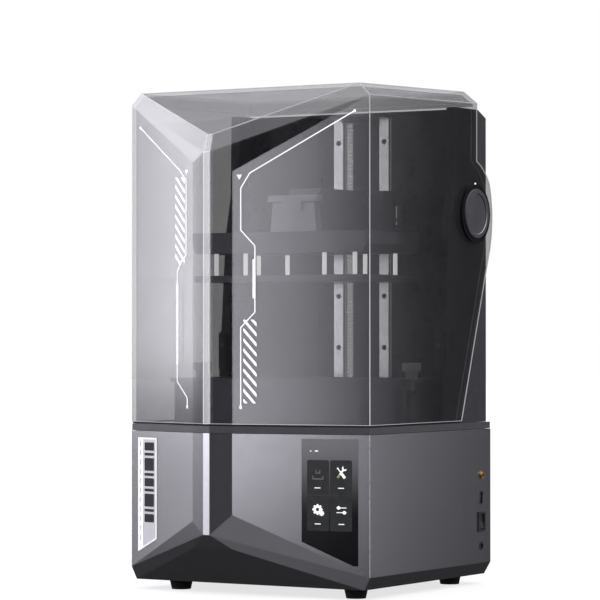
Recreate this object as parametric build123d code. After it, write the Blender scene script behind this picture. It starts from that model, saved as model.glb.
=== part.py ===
"""Desktop resin printer with a faceted base and a flip-up faceted lid.

Frame: millimetres, +Z up, the front faces -Y and +X is to the right seen from the front.
The origin is at the middle of the footprint, at the height that the feet stand on.
"""
import os

from build123d import *

os.makedirs("parts", exist_ok=True)

# ---------------------------------------------------------------- driving dimensions
HALF_WIDTH = 153.0          # outer side walls of base and lid
CORNER_Y = -119.0           # front corners, where the prow panels start
PROW_Y = -155.6             # flat ridge of the prow
REAR_Y = 150.4              # rear wall of the base
RIDGE = (-34.0, -26.0)      # the two edges of the ridge flat, along X
LEFT_FOLD = (-50.0, -151.8)     # vertical fold left of the ridge
RIGHT_FOLD = (1.0, -152.1)      # vertical fold right of the ridge

BASE_Z = (10.8, 174.8)      # underside and top of the base shell
DECK_Z = (175.2, 182.5)     # deck plate
BASE_WALL = 2.5
BASE_BEVEL = (7.0, 13.6)    # bevel along the bottom edge, across and up
BASE_RIDGE_Z = 65.4         # foot of the ridge flat
BASE_LEFT_FOLD_Z = 79.4
BASE_RIGHT_FOLD_Z = 87.7
BASE_APEX = (-149.4, 50.4)  # where the under-facet meets the ridge, Y and Z

LID_BOTTOM = 184.5
LID_WALL = 4.0
LID_EDGE_Z = 534.85         # top of the lid's side walls at the front corners
LID_RISE = 0.026            # the roof climbs this much per mm towards the rear
ROOF_FRONT = (-119.5, 548.0)    # front edge of the roof, Y and Z
ROOF_INSET = 12.5           # side bevel of the roof, across
LID_RIDGE_Z = 478.0         # top of the ridge flat
LID_LEFT_FOLD_Z = 467.2
LID_RIGHT_FOLD_Z = 456.3
LID_APEX = (-153.0, 497.2)  # where the roof facet meets the ridge, Y and Z
LID_REAR_Y = 119.6
ROOF_REAR_Y = 110.9

HINGE = (114.5, 416.4)      # lid hinge axis, Y and Z
SPINDLE_R = 10.0
HUB_RING_R = 33.0
HUB_CAP_R = 28.0

TOWER_HALF = 148.5          # outer face of the tower's side wings
TOWER_INNER = 137.0         # inner face of the wings
TOWER_REAR = 148.2
TOWER_TOP = 534.2
TOWER_WALL = 2.5
CHAMBER_REAR = 130.0        # front face of the column at the back of its recess
WALL_FRONT = 109.0          # front face of the chamber's rear wall, beside the recess
RECESS_HALF = 50.5          # half width of the recess that the column stands in

COLUMN_HALF = 40.5
COLUMN_THICK = 5.0
RAIL_X = 30.3
RAIL = (12.0, 8.0)          # width and height of the rail section
RAIL_Z = (186.0, 528.4)
RAIL_SCREW_Z = [207.0 + 59.0 * i for i in range(6)]
SCREW_Y = 97.0
SCREW_R = 4.0
SCREW_FOOT_Z = 176.0        # lower end of the spindle, inside the coupler
MOTOR_SIDE = 42.3
SHAFT_R = 2.5               # motor shaft

CARRIAGE_Z = (380.0, 444.0)
CARRIAGE_HALF = 49.0
CARRIAGE_Y = (88.0, 117.0)
ARM_HALF = 28.0
LEVER_PIVOT = (-11.0, 432.0)    # Y and Z
PLATE_HALF = (112.0, 59.0)      # build plate and its carrier, half sizes
CARRIER_Z = (371.0, 394.0)
BUILD_Z = (339.0, 346.5)
PIN_X = (51.2, 90.0)
PIN_Y = 44.0
PIN_R = 2.5
FLOAT_TRAVEL = 3.0

VAT_RIM = (131.0, 84.0)
VAT_BODY = (127.0, 80.0)
VAT_WALL = 4.0
VAT_Z = (185.9, 232.5)
VAT_WINDOW = (116.5, 67.5)
VAT_LIP = 3.9               # height of the rim around the tray's mouth
FILM_SCREW_R = 1.2
KNOB_AT = (137.0, -2.0)

PORT_Y = 128.4              # column of sockets on the right side wall
ANTENNA_Z = 123.0
USB_Z = 97.7
SWITCH_Z = 70.7
JACK_Z = 43.2
RUN = 0.05                  # radial running clearance
GAP = 0.3                   # clearance between parts that pass each other


# ---------------------------------------------------------------- small helpers
def block(x0, x1, y0, y1, z0, z1):
    """A box given by its two limits along each axis."""
    size = Box(x1 - x0, y1 - y0, z1 - z0)
    return Pos((x0 + x1) / 2, (y0 + y1) / 2, (z0 + z1) / 2) * size


def rod(x, y, z0, z1, radius):
    """An upright cylinder."""
    return Pos(x, y, (z0 + z1) / 2) * Cylinder(radius, z1 - z0)


def rod_x(x0, x1, y, z, radius):
    """A cylinder along X."""
    return Pos((x0 + x1) / 2, y, z) * Rot(0, 90, 0) * Cylinder(radius, x1 - x0)


def rod_y(x, y0, y1, z, radius):
    """A cylinder along Y."""
    return Pos(x, (y0 + y1) / 2, z) * Rot(90, 0, 0) * Cylinder(radius, y1 - y0)


def rounded(half_x, half_y, z0, z1, radius, at=(0, 0)):
    """An upright plate with rounded corners."""
    sketch = RectangleRounded(2 * half_x, 2 * half_y, radius)
    return Pos(at[0], at[1], z0) * extrude(sketch, amount=z1 - z0)


def side_prism(points, x0, x1):
    """A prism along X whose outline is given as Y, Z points."""
    outline = Plane.YZ * make_face(Polyline(*points, close=True))
    return Pos(x0, 0, 0) * extrude(outline, amount=x1 - x0)


def mirrored(solid):
    """The same part on the left side."""
    return mirror(solid, about=Plane.YZ)


nodes = {}


def node(name, *shapes):
    """Keep one named part: one solid, or a group of equal ones."""
    solids = [solid for shape in shapes for solid in shape.solids()]
    nodes[name] = solids[0] if len(solids) == 1 else Compound(children=solids)


# ---------------------------------------------------------------- outer envelope
MIDDLE = Vector(0, 0, 280)
PLAN = [(-HALF_WIDTH, CORNER_Y), LEFT_FOLD, (RIDGE[0], PROW_Y),
        (RIDGE[1], PROW_Y), RIGHT_FOLD, (HALF_WIDTH, CORNER_Y)]


def skin(a, b, c, inset):
    """The plane through three points, facing outwards, moved inwards by the inset."""
    a, b, c = Vector(a), Vector(b), Vector(c)
    out = (b - a).cross(c - a).normalized()
    if out.dot(a - MIDDLE) < 0:
        out = out * -1
    return Plane(origin=a - out * inset, z_dir=out)


def trimmed(solid, skins):
    """Cut away what lies outside each plane."""
    for plane in skins:
        solid = split(solid, bisect_by=plane, keep=Keep.BOTTOM)
    return solid


def prow_skins(inset):
    """The upright panels and strips of the front."""
    return [skin((*a, 0), (*b, 0), (*b, 100), inset) for a, b in zip(PLAN[:-1], PLAN[1:])]


def facet_skins(edge_z, side_rise, roof, roof_half, ridge_z, folds_z, apex, inset):
    """The slanted facets that close the prow towards the roof or the underside.

    roof is the front edge of the flat face, as Y and Z. Each facet is a plane through three
    corners, so that neighbouring facets meet in straight edges.
    """
    planes = []
    apex_point = ((RIDGE[0] + RIDGE[1]) / 2, *apex)
    planes.append(skin((-roof_half, *roof), (roof_half, *roof), apex_point, inset))
    planes.append(skin((RIDGE[0], PROW_Y, ridge_z), (RIDGE[1], PROW_Y, ridge_z), apex_point, inset))
    for side, ridge_x, fold, fold_z in ((-1, RIDGE[0], LEFT_FOLD, folds_z[0]),
                                        (1, RIDGE[1], RIGHT_FOLD, folds_z[1])):
        corner = (side * HALF_WIDTH, CORNER_Y, edge_z)
        roof_corner = (side * roof_half, *roof)
        ridge_point = (ridge_x, PROW_Y, ridge_z)
        planes.append(skin(corner, roof_corner, ridge_point, inset))
        planes.append(skin(corner, (*fold, fold_z), ridge_point, inset))
        rear_edge = (side * HALF_WIDTH, CORNER_Y + 100, edge_z + 100 * side_rise)
        planes.append(skin(corner, rear_edge, roof_corner, inset))
    return planes


def base_envelope(inset, z0, z1):
    """The outer form of the base, made smaller all round by the inset."""
    body = block(-HALF_WIDTH + inset, HALF_WIDTH - inset, PROW_Y - 1, REAR_Y - inset, z0, z1)
    edge_z = BASE_Z[0] + BASE_BEVEL[1]
    under = (CORNER_Y, BASE_Z[0])
    skins = facet_skins(edge_z, 0, under, HALF_WIDTH - BASE_BEVEL[0], BASE_RIDGE_Z,
                        (BASE_LEFT_FOLD_Z, BASE_RIGHT_FOLD_Z), BASE_APEX, inset)
    rear = (REAR_Y - BASE_BEVEL[0] / 3, BASE_Z[0])
    skins.append(skin((0, REAR_Y, edge_z), (1, REAR_Y, edge_z), (0, *rear), inset))
    return trimmed(body, prow_skins(inset) + skins)


def roof_z(y):
    """Height of the roof over a place along Y."""
    return ROOF_FRONT[1] + LID_RISE * (y - ROOF_FRONT[0])


def lid_envelope(inset, z0, rear):
    """The outer form of the lid, made smaller all round by the inset."""
    body = block(-HALF_WIDTH + inset, HALF_WIDTH - inset, PROW_Y - 1, rear, z0, 600)
    skins = facet_skins(LID_EDGE_Z, LID_RISE, ROOF_FRONT, HALF_WIDTH - ROOF_INSET, LID_RIDGE_Z,
                        (LID_LEFT_FOLD_Z, LID_RIGHT_FOLD_Z), LID_APEX, inset)
    roof_rear = (0, ROOF_REAR_Y, roof_z(ROOF_REAR_Y))
    skins.append(skin((0, *ROOF_FRONT), (1, *ROOF_FRONT), roof_rear, inset))
    rear_edge_z = LID_EDGE_Z + LID_RISE * (LID_REAR_Y - CORNER_Y)
    skins.append(skin((0, LID_REAR_Y, rear_edge_z), (1, LID_REAR_Y, rear_edge_z), roof_rear, inset))
    return trimmed(body, prow_skins(inset) + skins)


def panel_plane(a, b):
    """Local frame of an upright front panel: x along it from a, y up, z outwards."""
    along = Vector(b[0] - a[0], b[1] - a[1], 0).normalized()
    return Plane(origin=(*a, 0), x_dir=along, z_dir=(along.Y, -along.X, 0))


RIGHT_PANEL = panel_plane(RIGHT_FOLD, PLAN[-1])
LEFT_PANEL = panel_plane(PLAN[0], LEFT_FOLD)


def on_panel(panel, points, low, high, radius=0.0):
    """A plate on a front panel: outline in panel coordinates, from depth low to height high."""
    face = make_face(Polyline(*points, close=True))
    if radius:
        face = fillet(face.vertices(), radius)
    return panel * Pos(0, 0, low) * extrude(face, amount=high - low)


# ---------------------------------------------------------------- base
SCREEN = [(79.0, 60.8), (79.0, 170.4), (142.4, 170.4), (142.4, 36.2), (137.0, 36.2)]
SCREEN_LEDGE = 1.6          # depth of the step that the glass sits in
MODULE = (86.0, 136.0, 62.0, 160.0)     # touch module behind the glass, on the panel
BADGE = [(12.6, 41.9), (12.6, 167.4), (45.4, 167.4), (45.4, 56.9)]
FAN_AT = (60.0, 76.0)       # exhaust fan centre, X and Z
FAN_SIDE = 80.0
FOOT_AT = ((-103.5, -94.0), (121.0, -94.0), (-118.0, 118.0), (118.0, 118.0))
FOOT_R = (10.6, 13.0)       # foot radius on the table and at the base
FOOT_STUD_R = 2.2
FOOT_STUD_Z = 3.0           # lower end of the foot's screw
BOTTOM_THICK = 2.0          # bottom plate
DECK_SCREW_R = 1.6


def inset_points(points, panel_gap):
    """Scale an outline about its middle so that it is smaller by the gap on each side."""
    cx = (min(p[0] for p in points) + max(p[0] for p in points)) / 2
    cz = (min(p[1] for p in points) + max(p[1] for p in points)) / 2
    half_x = max(p[0] for p in points) - cx
    half_z = max(p[1] for p in points) - cz
    kx, kz = (half_x - panel_gap) / half_x, (half_z - panel_gap) / half_z
    return [(cx + kx * (x - cx), cz + kz * (z - cz)) for x, z in points]


def vent_slots(x0, x1, y0, y1, z0, z1, count, width):
    """Slots side by side along X, through a wall given by the other limits."""
    pitch = (x1 - x0) / count
    return [block(x0 + (i + 0.5) * pitch - width / 2, x0 + (i + 0.5) * pitch + width / 2, y0, y1, z0, z1)
            for i in range(count)]


def base_shell():
    """Faceted sheet-metal skin, open above and below."""
    shell = base_envelope(0, *BASE_Z) - base_envelope(BASE_WALL, BASE_Z[0] - 5, BASE_Z[1] + 5)
    shell -= on_panel(RIGHT_PANEL, SCREEN, -SCREEN_LEDGE, 1)
    shell -= on_panel(RIGHT_PANEL, inset_points(SCREEN, 4), -6, 1)
    shell -= rod_x(HALF_WIDTH - 4, HALF_WIDTH + 1, PORT_Y, ANTENNA_Z, 3.3)
    shell -= block(HALF_WIDTH - 4, HALF_WIDTH + 1, PORT_Y - 4, PORT_Y + 4, USB_Z - 7.5, USB_Z + 7.5)
    shell -= block(HALF_WIDTH - 4, HALF_WIDTH + 1, PORT_Y - 7.5, PORT_Y + 7.5, SWITCH_Z - 10, SWITCH_Z + 10)
    shell -= rod_x(HALF_WIDTH - 4, HALF_WIDTH + 1, PORT_Y, JACK_Z, 5.0)
    fan_x, fan_z = FAN_AT
    shell -= rod_y(fan_x, REAR_Y - 4, REAR_Y + 1, fan_z, 38)
    shell -= vent_slots(-125, -15, REAR_Y - 4, REAR_Y + 1, 46, 106, 14, 4)
    return shell


def bottom_plate():
    """Flat steel plate that closes the base from below, with air slots."""
    plate = base_envelope(BASE_WALL + GAP, BASE_Z[0], BASE_Z[0] + BOTTOM_THICK)
    for x0 in (-95, 15):
        plate -= vent_slots(x0, x0 + 80, -40, 40, 5, 20, 10, 4)
    for x, y in FOOT_AT:
        plate -= rod(x, y, 5, 20, FOOT_STUD_R)
    return plate


def foot(x, y):
    """Tapered rubber foot with a pressed-in stud hole."""
    height = BASE_Z[0]
    body = Pos(x, y, height / 2) * Rot(180, 0, 0) * Cone(FOOT_R[1], FOOT_R[0], height)
    return body - rod(x, y, FOOT_STUD_Z, height + 1, FOOT_STUD_R)


def foot_screw(x, y):
    """Pan-head screw that holds a foot to the bottom plate."""
    seat = BASE_Z[0] + BOTTOM_THICK
    return rod(x, y, FOOT_STUD_Z, seat, FOOT_STUD_R) + rod(x, y, seat, seat + 2.4, 4.0)


DECK_HOLES = [(-140, -105), (140, -105), (-140, 20), (140, 20)]
LCD_HALF = (114.0, 65.0)
LCD_Z = (181.0, 185.4)


def deck_plate():
    """Top deck: a tray turned upside down, with the window for the mask screen."""
    deck = base_envelope(0.4, *DECK_Z) - base_envelope(6, DECK_Z[0] - 1, DECK_Z[1] - 3)
    deck -= block(-LCD_HALF[0], LCD_HALF[0], -LCD_HALF[1], LCD_HALF[1], 170, 190)
    deck -= rod(0, SCREW_Y, 170, 190, 11)
    deck -= block(-COLUMN_HALF, COLUMN_HALF, CHAMBER_REAR, CHAMBER_REAR + COLUMN_THICK, 170, 190)
    for side in (-1, 1):
        deck -= rod(side * KNOB_AT[0], KNOB_AT[1], 170, 190, 6)
    for x, y in DECK_HOLES:
        deck -= rod(x, y, 170, 190, DECK_SCREW_R)
    return deck


def deck_screw(x, y):
    """Low-head screw in the deck."""
    return rod(x, y, DECK_Z[1] - 6, DECK_Z[1], DECK_SCREW_R) + rod(x, y, DECK_Z[1], DECK_Z[1] + 0.9, 3.0)


node("base_shell", base_shell())
node("base_bottom_plate", bottom_plate())
node("rubber_feet", *[foot(x, y) for x, y in FOOT_AT])
node("foot_screws", *[foot_screw(x, y) for x, y in FOOT_AT])
node("deck_plate", deck_plate())
node("deck_screws", *[deck_screw(x, y) for x, y in DECK_HOLES])

# touch screen and badge on the front panels
glass = on_panel(RIGHT_PANEL, inset_points(SCREEN, 0.15), -SCREEN_LEDGE, -0.1)
node("touchscreen_glass", glass)
x0, x1, z0, z1 = MODULE
module_outline = [(x0, z0), (x0, z1), (x1, z1), (x1, z0)]
node("touchscreen_module", on_panel(RIGHT_PANEL, module_outline, -8.0, -SCREEN_LEDGE))
node("badge_plate", on_panel(LEFT_PANEL, BADGE, 0.0, 0.6))


# ---------------------------------------------------------------- light engine in the base
ENGINE_HALF = (104.0, 62.0)
ENGINE_Z = (44.0, 176.0)
ENGINE_WALL = 2.5


def engine_housing():
    """Straight light shaft between the light source and the mask screen."""
    outer_x, outer_y = ENGINE_HALF
    inner_x, inner_y = outer_x - ENGINE_WALL, outer_y - ENGINE_WALL
    shaft = block(-outer_x, outer_x, -outer_y, outer_y, *ENGINE_Z)
    return shaft - block(-inner_x, inner_x, -inner_y, inner_y, ENGINE_Z[0] - 1, ENGINE_Z[1] + 1)


def led_board():
    """Board with a grid of domed light sources."""
    board = block(-96, 96, -54, 54, 46, 48)
    for i in range(6):
        for j in range(3):
            board += rod(-80 + 32 * i, -34 + 34 * j, 48, 51, 6)
    return board


def heatsink():
    """Finned plate under the light source."""
    sink = block(-98, 98, -56, 56, 38, 44)
    for i in range(13):
        x = -90 + 15 * i
        sink += block(x - 1, x + 1, -56, 56, 20, 38)
    return sink


node("light_engine_housing", engine_housing())
node("led_board", led_board() + block(-96, 96, -54, 54, 44, 46))
node("led_heatsink", heatsink())
node("collimator_lens", block(-101.3, 101.3, -59.3, 59.3, 150, 154))
lcd_x, lcd_y = [half - 0.2 for half in LCD_HALF]
node("lcd_mask_panel", block(-lcd_x, lcd_x, -lcd_y, lcd_y, *LCD_Z))

# ---------------------------------------------------------------- electronics and fan
fan_x, fan_z = FAN_AT
FAN_Y = (120.0, 145.0)


def fan_frame():
    """Square fan frame on the rear wall, with a motor seat on four spokes."""
    half = FAN_SIDE / 2
    frame = block(fan_x - half, fan_x + half, *FAN_Y, fan_z - half, fan_z + half)
    frame -= rod_y(fan_x, FAN_Y[0] - 1, FAN_Y[1] + 1, fan_z, half - 2)
    seat = rod_y(fan_x, FAN_Y[1] - 3, FAN_Y[1], fan_z, 14)
    spoke = block(fan_x - half + 1, fan_x + half - 1, FAN_Y[1] - 3, FAN_Y[1], fan_z - 2, fan_z + 2)
    upright = block(fan_x - 2, fan_x + 2, FAN_Y[1] - 3, FAN_Y[1], fan_z - half + 1, fan_z + half - 1)
    return frame + seat + spoke + upright - rod_y(fan_x, FAN_Y[1] - 4, FAN_Y[1] + 1, fan_z, 2 + RUN)


def fan_rotor():
    """Hub with seven pitched blades and its short axle."""
    rotor = rod_y(fan_x, FAN_Y[0] + 1, FAN_Y[1] - 3.5, fan_z, 15)
    rotor += rod_y(fan_x, FAN_Y[1] - 4, FAN_Y[1] - 0.5, fan_z, 2)
    blade = Pos(0, 0, 25) * Rot(0, 0, 35) * Box(2, 18, 22)
    for i in range(7):
        rotor += Pos(fan_x, FAN_Y[0] + 10.5, fan_z) * Rot(0, i * 360 / 7, 0) * blade
    return rotor


def fan_grille():
    """Ring grille over the fan opening in the rear wall."""
    ring = rod_y(fan_x, REAR_Y, REAR_Y + 1.5, fan_z, 40) - rod_y(fan_x, REAR_Y - 1, REAR_Y + 3, fan_z, 36)
    for radius in (10, 18.5, 27):
        ring += rod_y(fan_x, REAR_Y, REAR_Y + 1.5, fan_z, radius + 1) - rod_y(
            fan_x, REAR_Y - 1, REAR_Y + 3, fan_z, radius - 1)
    ring += block(fan_x - 38, fan_x + 38, REAR_Y, REAR_Y + 1.5, fan_z - 1.2, fan_z + 1.2)
    ring += block(fan_x - 1.2, fan_x + 1.2, REAR_Y, REAR_Y + 1.5, fan_z - 38, fan_z + 38)
    return ring


def mainboard():
    """Control board on the left wall with its connectors and chips."""
    board = block(-140, -138.4, -90, 60, 36, 146)
    for i in range(6):
        board += block(-138.4, -130, -80 + 22 * i, -66 + 22 * i, 38, 48)
    board += block(-138.4, -134, -40, -10, 80, 110)
    board += block(-138.4, -132, 15, 45, 90, 120)
    return board


node("fan_frame", fan_frame())
node("fan_rotor", fan_rotor())
node("fan_grille", fan_grille())
node("mainboard", mainboard())
standoffs = [rod_x(-HALF_WIDTH + BASE_WALL, -140, y, z, 3) for y in (-84, 54) for z in (42, 140)]
node("mainboard_standoffs", *standoffs)


def usb_port():
    """Socket shell with its contact tongue."""
    wall, y, z = HALF_WIDTH, PORT_Y, USB_Z
    shell = block(wall - 16, wall + 0.2, y - 3.9, y + 3.9, z - 7.4, z + 7.4)
    shell -= block(wall - 14, wall + 1, y - 2.8, y + 2.8, z - 6.4, z + 6.4)
    tongue = block(wall - 15, wall - 1.5, y + 0.4, y + 2.2, z - 5.6, z + 5.6)
    return shell + tongue


def power_inlet():
    """Round low-voltage jack with a centre pin."""
    jack = rod_x(HALF_WIDTH - 14, HALF_WIDTH + 0.4, PORT_Y, JACK_Z, 4.9)
    jack -= rod_x(HALF_WIDTH - 11, HALF_WIDTH + 1, PORT_Y, JACK_Z, 3.0)
    return jack + rod_x(HALF_WIDTH - 12, HALF_WIDTH - 1, PORT_Y, JACK_Z, 1.2)


def antenna_socket():
    """Threaded round socket with a hex nut against the wall."""
    nut = RegularPolygon(4.6, 6)
    body = rod_x(HALF_WIDTH - 8, HALF_WIDTH + 2.6, PORT_Y, ANTENNA_Z, 3.2)
    body += Pos(HALF_WIDTH, PORT_Y, ANTENNA_Z) * Rot(0, 90, 0) * extrude(nut, amount=1.2)
    return body - rod_x(HALF_WIDTH - 1, HALF_WIDTH + 3, PORT_Y, ANTENNA_Z, 2.2)


ROCKER_TILT = 7.0
ROCKER_PIVOT = (HALF_WIDTH - 2.0, SWITCH_Z)     # X and Z of the rocker's axis, along Y


def switch_body():
    """Snap-in switch frame around the rocker."""
    wall, y, z = HALF_WIDTH, PORT_Y, SWITCH_Z
    frame = block(wall - 16, wall, y - 7.4, y + 7.4, z - 9.9, z + 9.9)
    rim = block(wall, wall + 1.2, y - 8.4, y + 8.4, z - 11, z + 11)
    well = block(wall - 10, wall + 3, y - 5.8, y + 5.8, z - 8.6, z + 8.6)
    seats = rod_y(0, PORT_Y - 7.3, PORT_Y + 7.3, 0, 1.0 + RUN)
    return frame + rim - well - Pos(ROCKER_PIVOT[0], 0, ROCKER_PIVOT[1]) * seats


def switch_rocker():
    """Rocker with two slanted faces, tipped to its off side."""
    outline = [(-4.5, -6.5), (-4.5, 6.5), (1.2, 8.0), (2.0, 8.0), (1.2, 0.0), (2.0, -8.0), (1.2, -8.0)]
    face = Plane.XZ * make_face(Polyline(*outline, close=True))
    rocker = extrude(face, amount=5.5, both=True)
    pin = Rot(90, 0, 0) * Cylinder(1.0, 14)
    return Pos(ROCKER_PIVOT[0], PORT_Y, ROCKER_PIVOT[1]) * Rot(0, -ROCKER_TILT, 0) * (rocker + pin)


node("usb_port", usb_port())
node("power_inlet", power_inlet())
node("antenna_socket", antenna_socket())
node("power_switch_body", switch_body())
node("power_switch_rocker", switch_rocker())

# ---------------------------------------------------------------- Z axis on the tower
MOTOR_Z = (118.0, 158.0)
COUPLER_Z = (161.0, 190.0)
TOP_PLATE_Z = (528.6, 531.6)


def z_motor():
    """Stepper motor body, hollow for its rotor, with chamfered corners."""
    half = MOTOR_SIDE / 2
    body = block(-half, half, SCREW_Y - half, SCREW_Y + half, *MOTOR_Z)
    body = chamfer(body.edges().filter_by(Axis.Z), 4)
    body += rod(0, SCREW_Y, MOTOR_Z[1], MOTOR_Z[1] + 2, 11)
    body -= rod(0, SCREW_Y, MOTOR_Z[0] + 4, MOTOR_Z[1] - 4, 13)
    body -= rod(0, SCREW_Y, MOTOR_Z[1] - 5, MOTOR_Z[1] + 3, 5)
    return body - rod(0, SCREW_Y, MOTOR_Z[0] - 1, MOTOR_Z[0] + 5, SHAFT_R + RUN)


def motor_bracket():
    """Bent plate that hangs the motor from the column's foot."""
    half = MOTOR_SIDE / 2
    shelf = block(-30, 30, SCREW_Y - half, CHAMBER_REAR, MOTOR_Z[1], MOTOR_Z[1] + 3)
    shelf += block(-30, 30, CHAMBER_REAR - 3, CHAMBER_REAR, MOTOR_Z[1] - 40, MOTOR_Z[1])
    return shelf - rod(0, SCREW_Y, MOTOR_Z[1] - 1, MOTOR_Z[1] + 4, 11.2)


def lead_screw():
    """Threaded spindle, drawn at its outer diameter."""
    return rod(0, SCREW_Y, SCREW_FOOT_Z, TOP_PLATE_Z[0] - 0.4, SCREW_R)


def motor_rotor():
    """Rotor and shaft that turn inside the motor."""
    rotor = rod(0, SCREW_Y, MOTOR_Z[0] + 5, MOTOR_Z[1] - 6, 12.6)
    return rotor + rod(0, SCREW_Y, MOTOR_Z[0] + 0.5, SCREW_FOOT_Z - 1, SHAFT_R)


def shaft_coupler():
    """Clamp coupler between the motor shaft and the spindle."""
    body = rod(0, SCREW_Y, *COUPLER_Z, 9.5) - block(0, 12, SCREW_Y - 0.5, SCREW_Y + 0.5, 160, 191)
    body -= rod(0, SCREW_Y, COUPLER_Z[0] - 1, SCREW_FOOT_Z, SHAFT_R)
    return body - rod(0, SCREW_Y, SCREW_FOOT_Z - 0.1, COUPLER_Z[1] + 1, SCREW_R)


def rail(side):
    """Profiled rail with countersunk screw holes."""
    x = side * RAIL_X
    width, height = RAIL
    front = CHAMBER_REAR - height
    bar = block(x - width / 2, x + width / 2, front, CHAMBER_REAR, *RAIL_Z)
    for flank in (-1, 1):
        bar -= rod(x + flank * (width / 2 + 1.2), front + 3.2, RAIL_Z[0] - 1, RAIL_Z[1] + 1, 2.0)
    for z in RAIL_SCREW_Z:
        bar -= rod_y(x, front - 1, CHAMBER_REAR + 1, z, 1.8) + rod_y(x, front - 1, front + 3.4, z, 3.4)
    return bar


def rail_screw(side, z):
    """Socket screw in a rail."""
    x = side * RAIL_X
    front = CHAMBER_REAR - RAIL[1]
    screw = rod_y(x, front + 0.8, front + 3.4, z, 3.1) + rod_y(x, front + 3.4, CHAMBER_REAR, z, 1.7)
    return screw - rod_y(x, front, front + 2.2, z, 1.4)


node("z_motor", z_motor())
node("motor_bracket", motor_bracket())
node("motor_rotor", motor_rotor())
node("shaft_coupler", shaft_coupler())
node("lead_screw", lead_screw())
column = block(-COLUMN_HALF, COLUMN_HALF, CHAMBER_REAR, CHAMBER_REAR + COLUMN_THICK, 118, RAIL_Z[1])
node("column_plate", column)
node("z_rails", rail(-1), rail(1))
node("rail_screws", *[rail_screw(side, z) for side in (-1, 1) for z in RAIL_SCREW_Z])
top_plate = block(-COLUMN_HALF, COLUMN_HALF, SCREW_Y - 10, CHAMBER_REAR, *TOP_PLATE_Z)
node("column_top_plate", top_plate)
bearing = rod(0, SCREW_Y, 522, TOP_PLATE_Z[0], 9) - rod(0, SCREW_Y, 521, TOP_PLATE_Z[0] + 1, SCREW_R + RUN)
node("screw_top_bearing", bearing)


# ---------------------------------------------------------------- carriage and platform
def carriage_plate():
    """Cast carriage: box on both rails with a channel for the spindle, and the forward arm."""
    y0, y1 = CARRIAGE_Y
    z0, z1 = CARRIAGE_Z
    body = block(-CARRIAGE_HALF, CARRIAGE_HALF, y0, y1, z0, z1)
    body -= block(-16, 16, y0 + 4, y1 + 1, z0 + 6, z1 - 6)
    body -= rod(0, SCREW_Y, z0 - 1, z1 + 1, 7)
    for side in (-1, 1):
        x0, x1 = sorted((side * 20, side * (CARRIAGE_HALF - 4)))
        body -= block(x0, x1, y0 + 4, y1 - 8, z0 - 1, z1 - 5)
    arm = block(-ARM_HALF, ARM_HALF, -14, y0, 397, 427.8)
    arm -= block(-ARM_HALF + 4, ARM_HALF - 4, 34, y0 - 4, 390, 422)
    rib = side_prism([(-7, 427.8), (-7, 437), (1, 444.0), (y0, 444.0), (y0, 427.8)], -20, 20)
    arm += rib
    for side in (-1, 1):
        x0, x1 = sorted((side * 19.5, side * 24.5))
        ear = block(x0, x1, LEVER_PIVOT[0] - 1.9, LEVER_PIVOT[0] + 8, 427.8, LEVER_PIVOT[1])
        arm += ear + rod_x(x0, x1, *LEVER_PIVOT, 3.4)
    arm -= rod_x(-30, 30, *LEVER_PIVOT, 2.0)
    arm -= block(-16.3, 16.3, -15, 30.3, 396, 416.3)
    return body + arm


def neck():
    """Tapered neck on the carrier, with a tongue that slides into the arm."""
    foot_half, top_half = 30.0, 27.0
    outline = [(-foot_half, 394), (foot_half, 394), (top_half, 427.3), (-top_half, 427.3)]
    front = extrude(Plane.XZ.offset(14.3) * make_face(Polyline(*outline, close=True)), amount=11.7)
    tongue = block(-16, 16, -14.4, 30, 394, 416)
    return front + tongue


def clamp_lever():
    """Flip lever over the neck: a rounded slab, a hooked tab and a knuckle on the pin."""
    pivot_y, pivot_z = LEVER_PIVOT
    slab = block(-33.5, 33.5, -29.5, pivot_y - 4.2, 428.3, 435.3)
    slab = fillet(slab.edges().filter_by(Axis.Z), 4)
    slab = fillet(slab.edges().group_by(Axis.Z)[-1], 1.5)
    slab += block(-12, 12, -29.5, -26.6, 418, 429)
    knuckle = block(-19, 19, pivot_y - 5, pivot_y, pivot_z - 3.2, pivot_z + 3.2)
    slab += knuckle + rod_x(-19, 19, pivot_y, pivot_z, 3.2)
    return slab - rod_x(-40, 40, pivot_y, pivot_z, 2 + RUN)


def pin_places():
    """The eight guide pins in two rows."""
    return [(sx * x, sy * PIN_Y) for sy in (-1, 1) for x in PIN_X for sx in (-1, 1)]


def carrier_plate():
    """Cast carrier, hollow from below, with a boss and a spring pocket for each pin."""
    half_x, half_y = PLATE_HALF
    z0, z1 = CARRIER_Z
    outline = [(-half_x, z1), (-half_x, z0 + 9), (-half_x + 4, z0),
               (half_x - 4, z0), (half_x, z0 + 9), (half_x, z1)]
    body = extrude(Plane.XZ * make_face(Polyline(*outline, close=True)), amount=half_y, both=True)
    pockets = [block(x0, x1, y0, y1, z0 - 1, z1 - 5)
               for x0, x1 in ((-104, -34), (-30, 30), (34, 104)) for y0, y1 in ((-53, -3), (3, 53))]
    body -= pockets
    for x, y in pin_places():
        body += rod(x, y, z0, z1 - 4, 7)
        body -= rod(x, y, z0 - 1, z1, PIN_R + RUN)
        body -= rod(x, y, z0 + 6, z1 - 5, 5)
        body += rod(x, y, z1 - 5, z1, 5)
    return body


def guide_pin(x, y):
    """Shouldered pin: shaft from the build plate up into its pocket."""
    head = CARRIER_Z[0] + 6.2
    return rod(x, y, BUILD_Z[1], head + 3, PIN_R) + rod(x, y, head, head + 2.8, 4.4)


def pin_spring(x, y):
    """Compression spring above a pin head, drawn as a sleeve."""
    low, high = CARRIER_Z[0] + 9.2, CARRIER_Z[1] - 5
    return rod(x, y, low, high, 4.0) - rod(x, y, low - 1, high + 1, 3.2)


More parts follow.
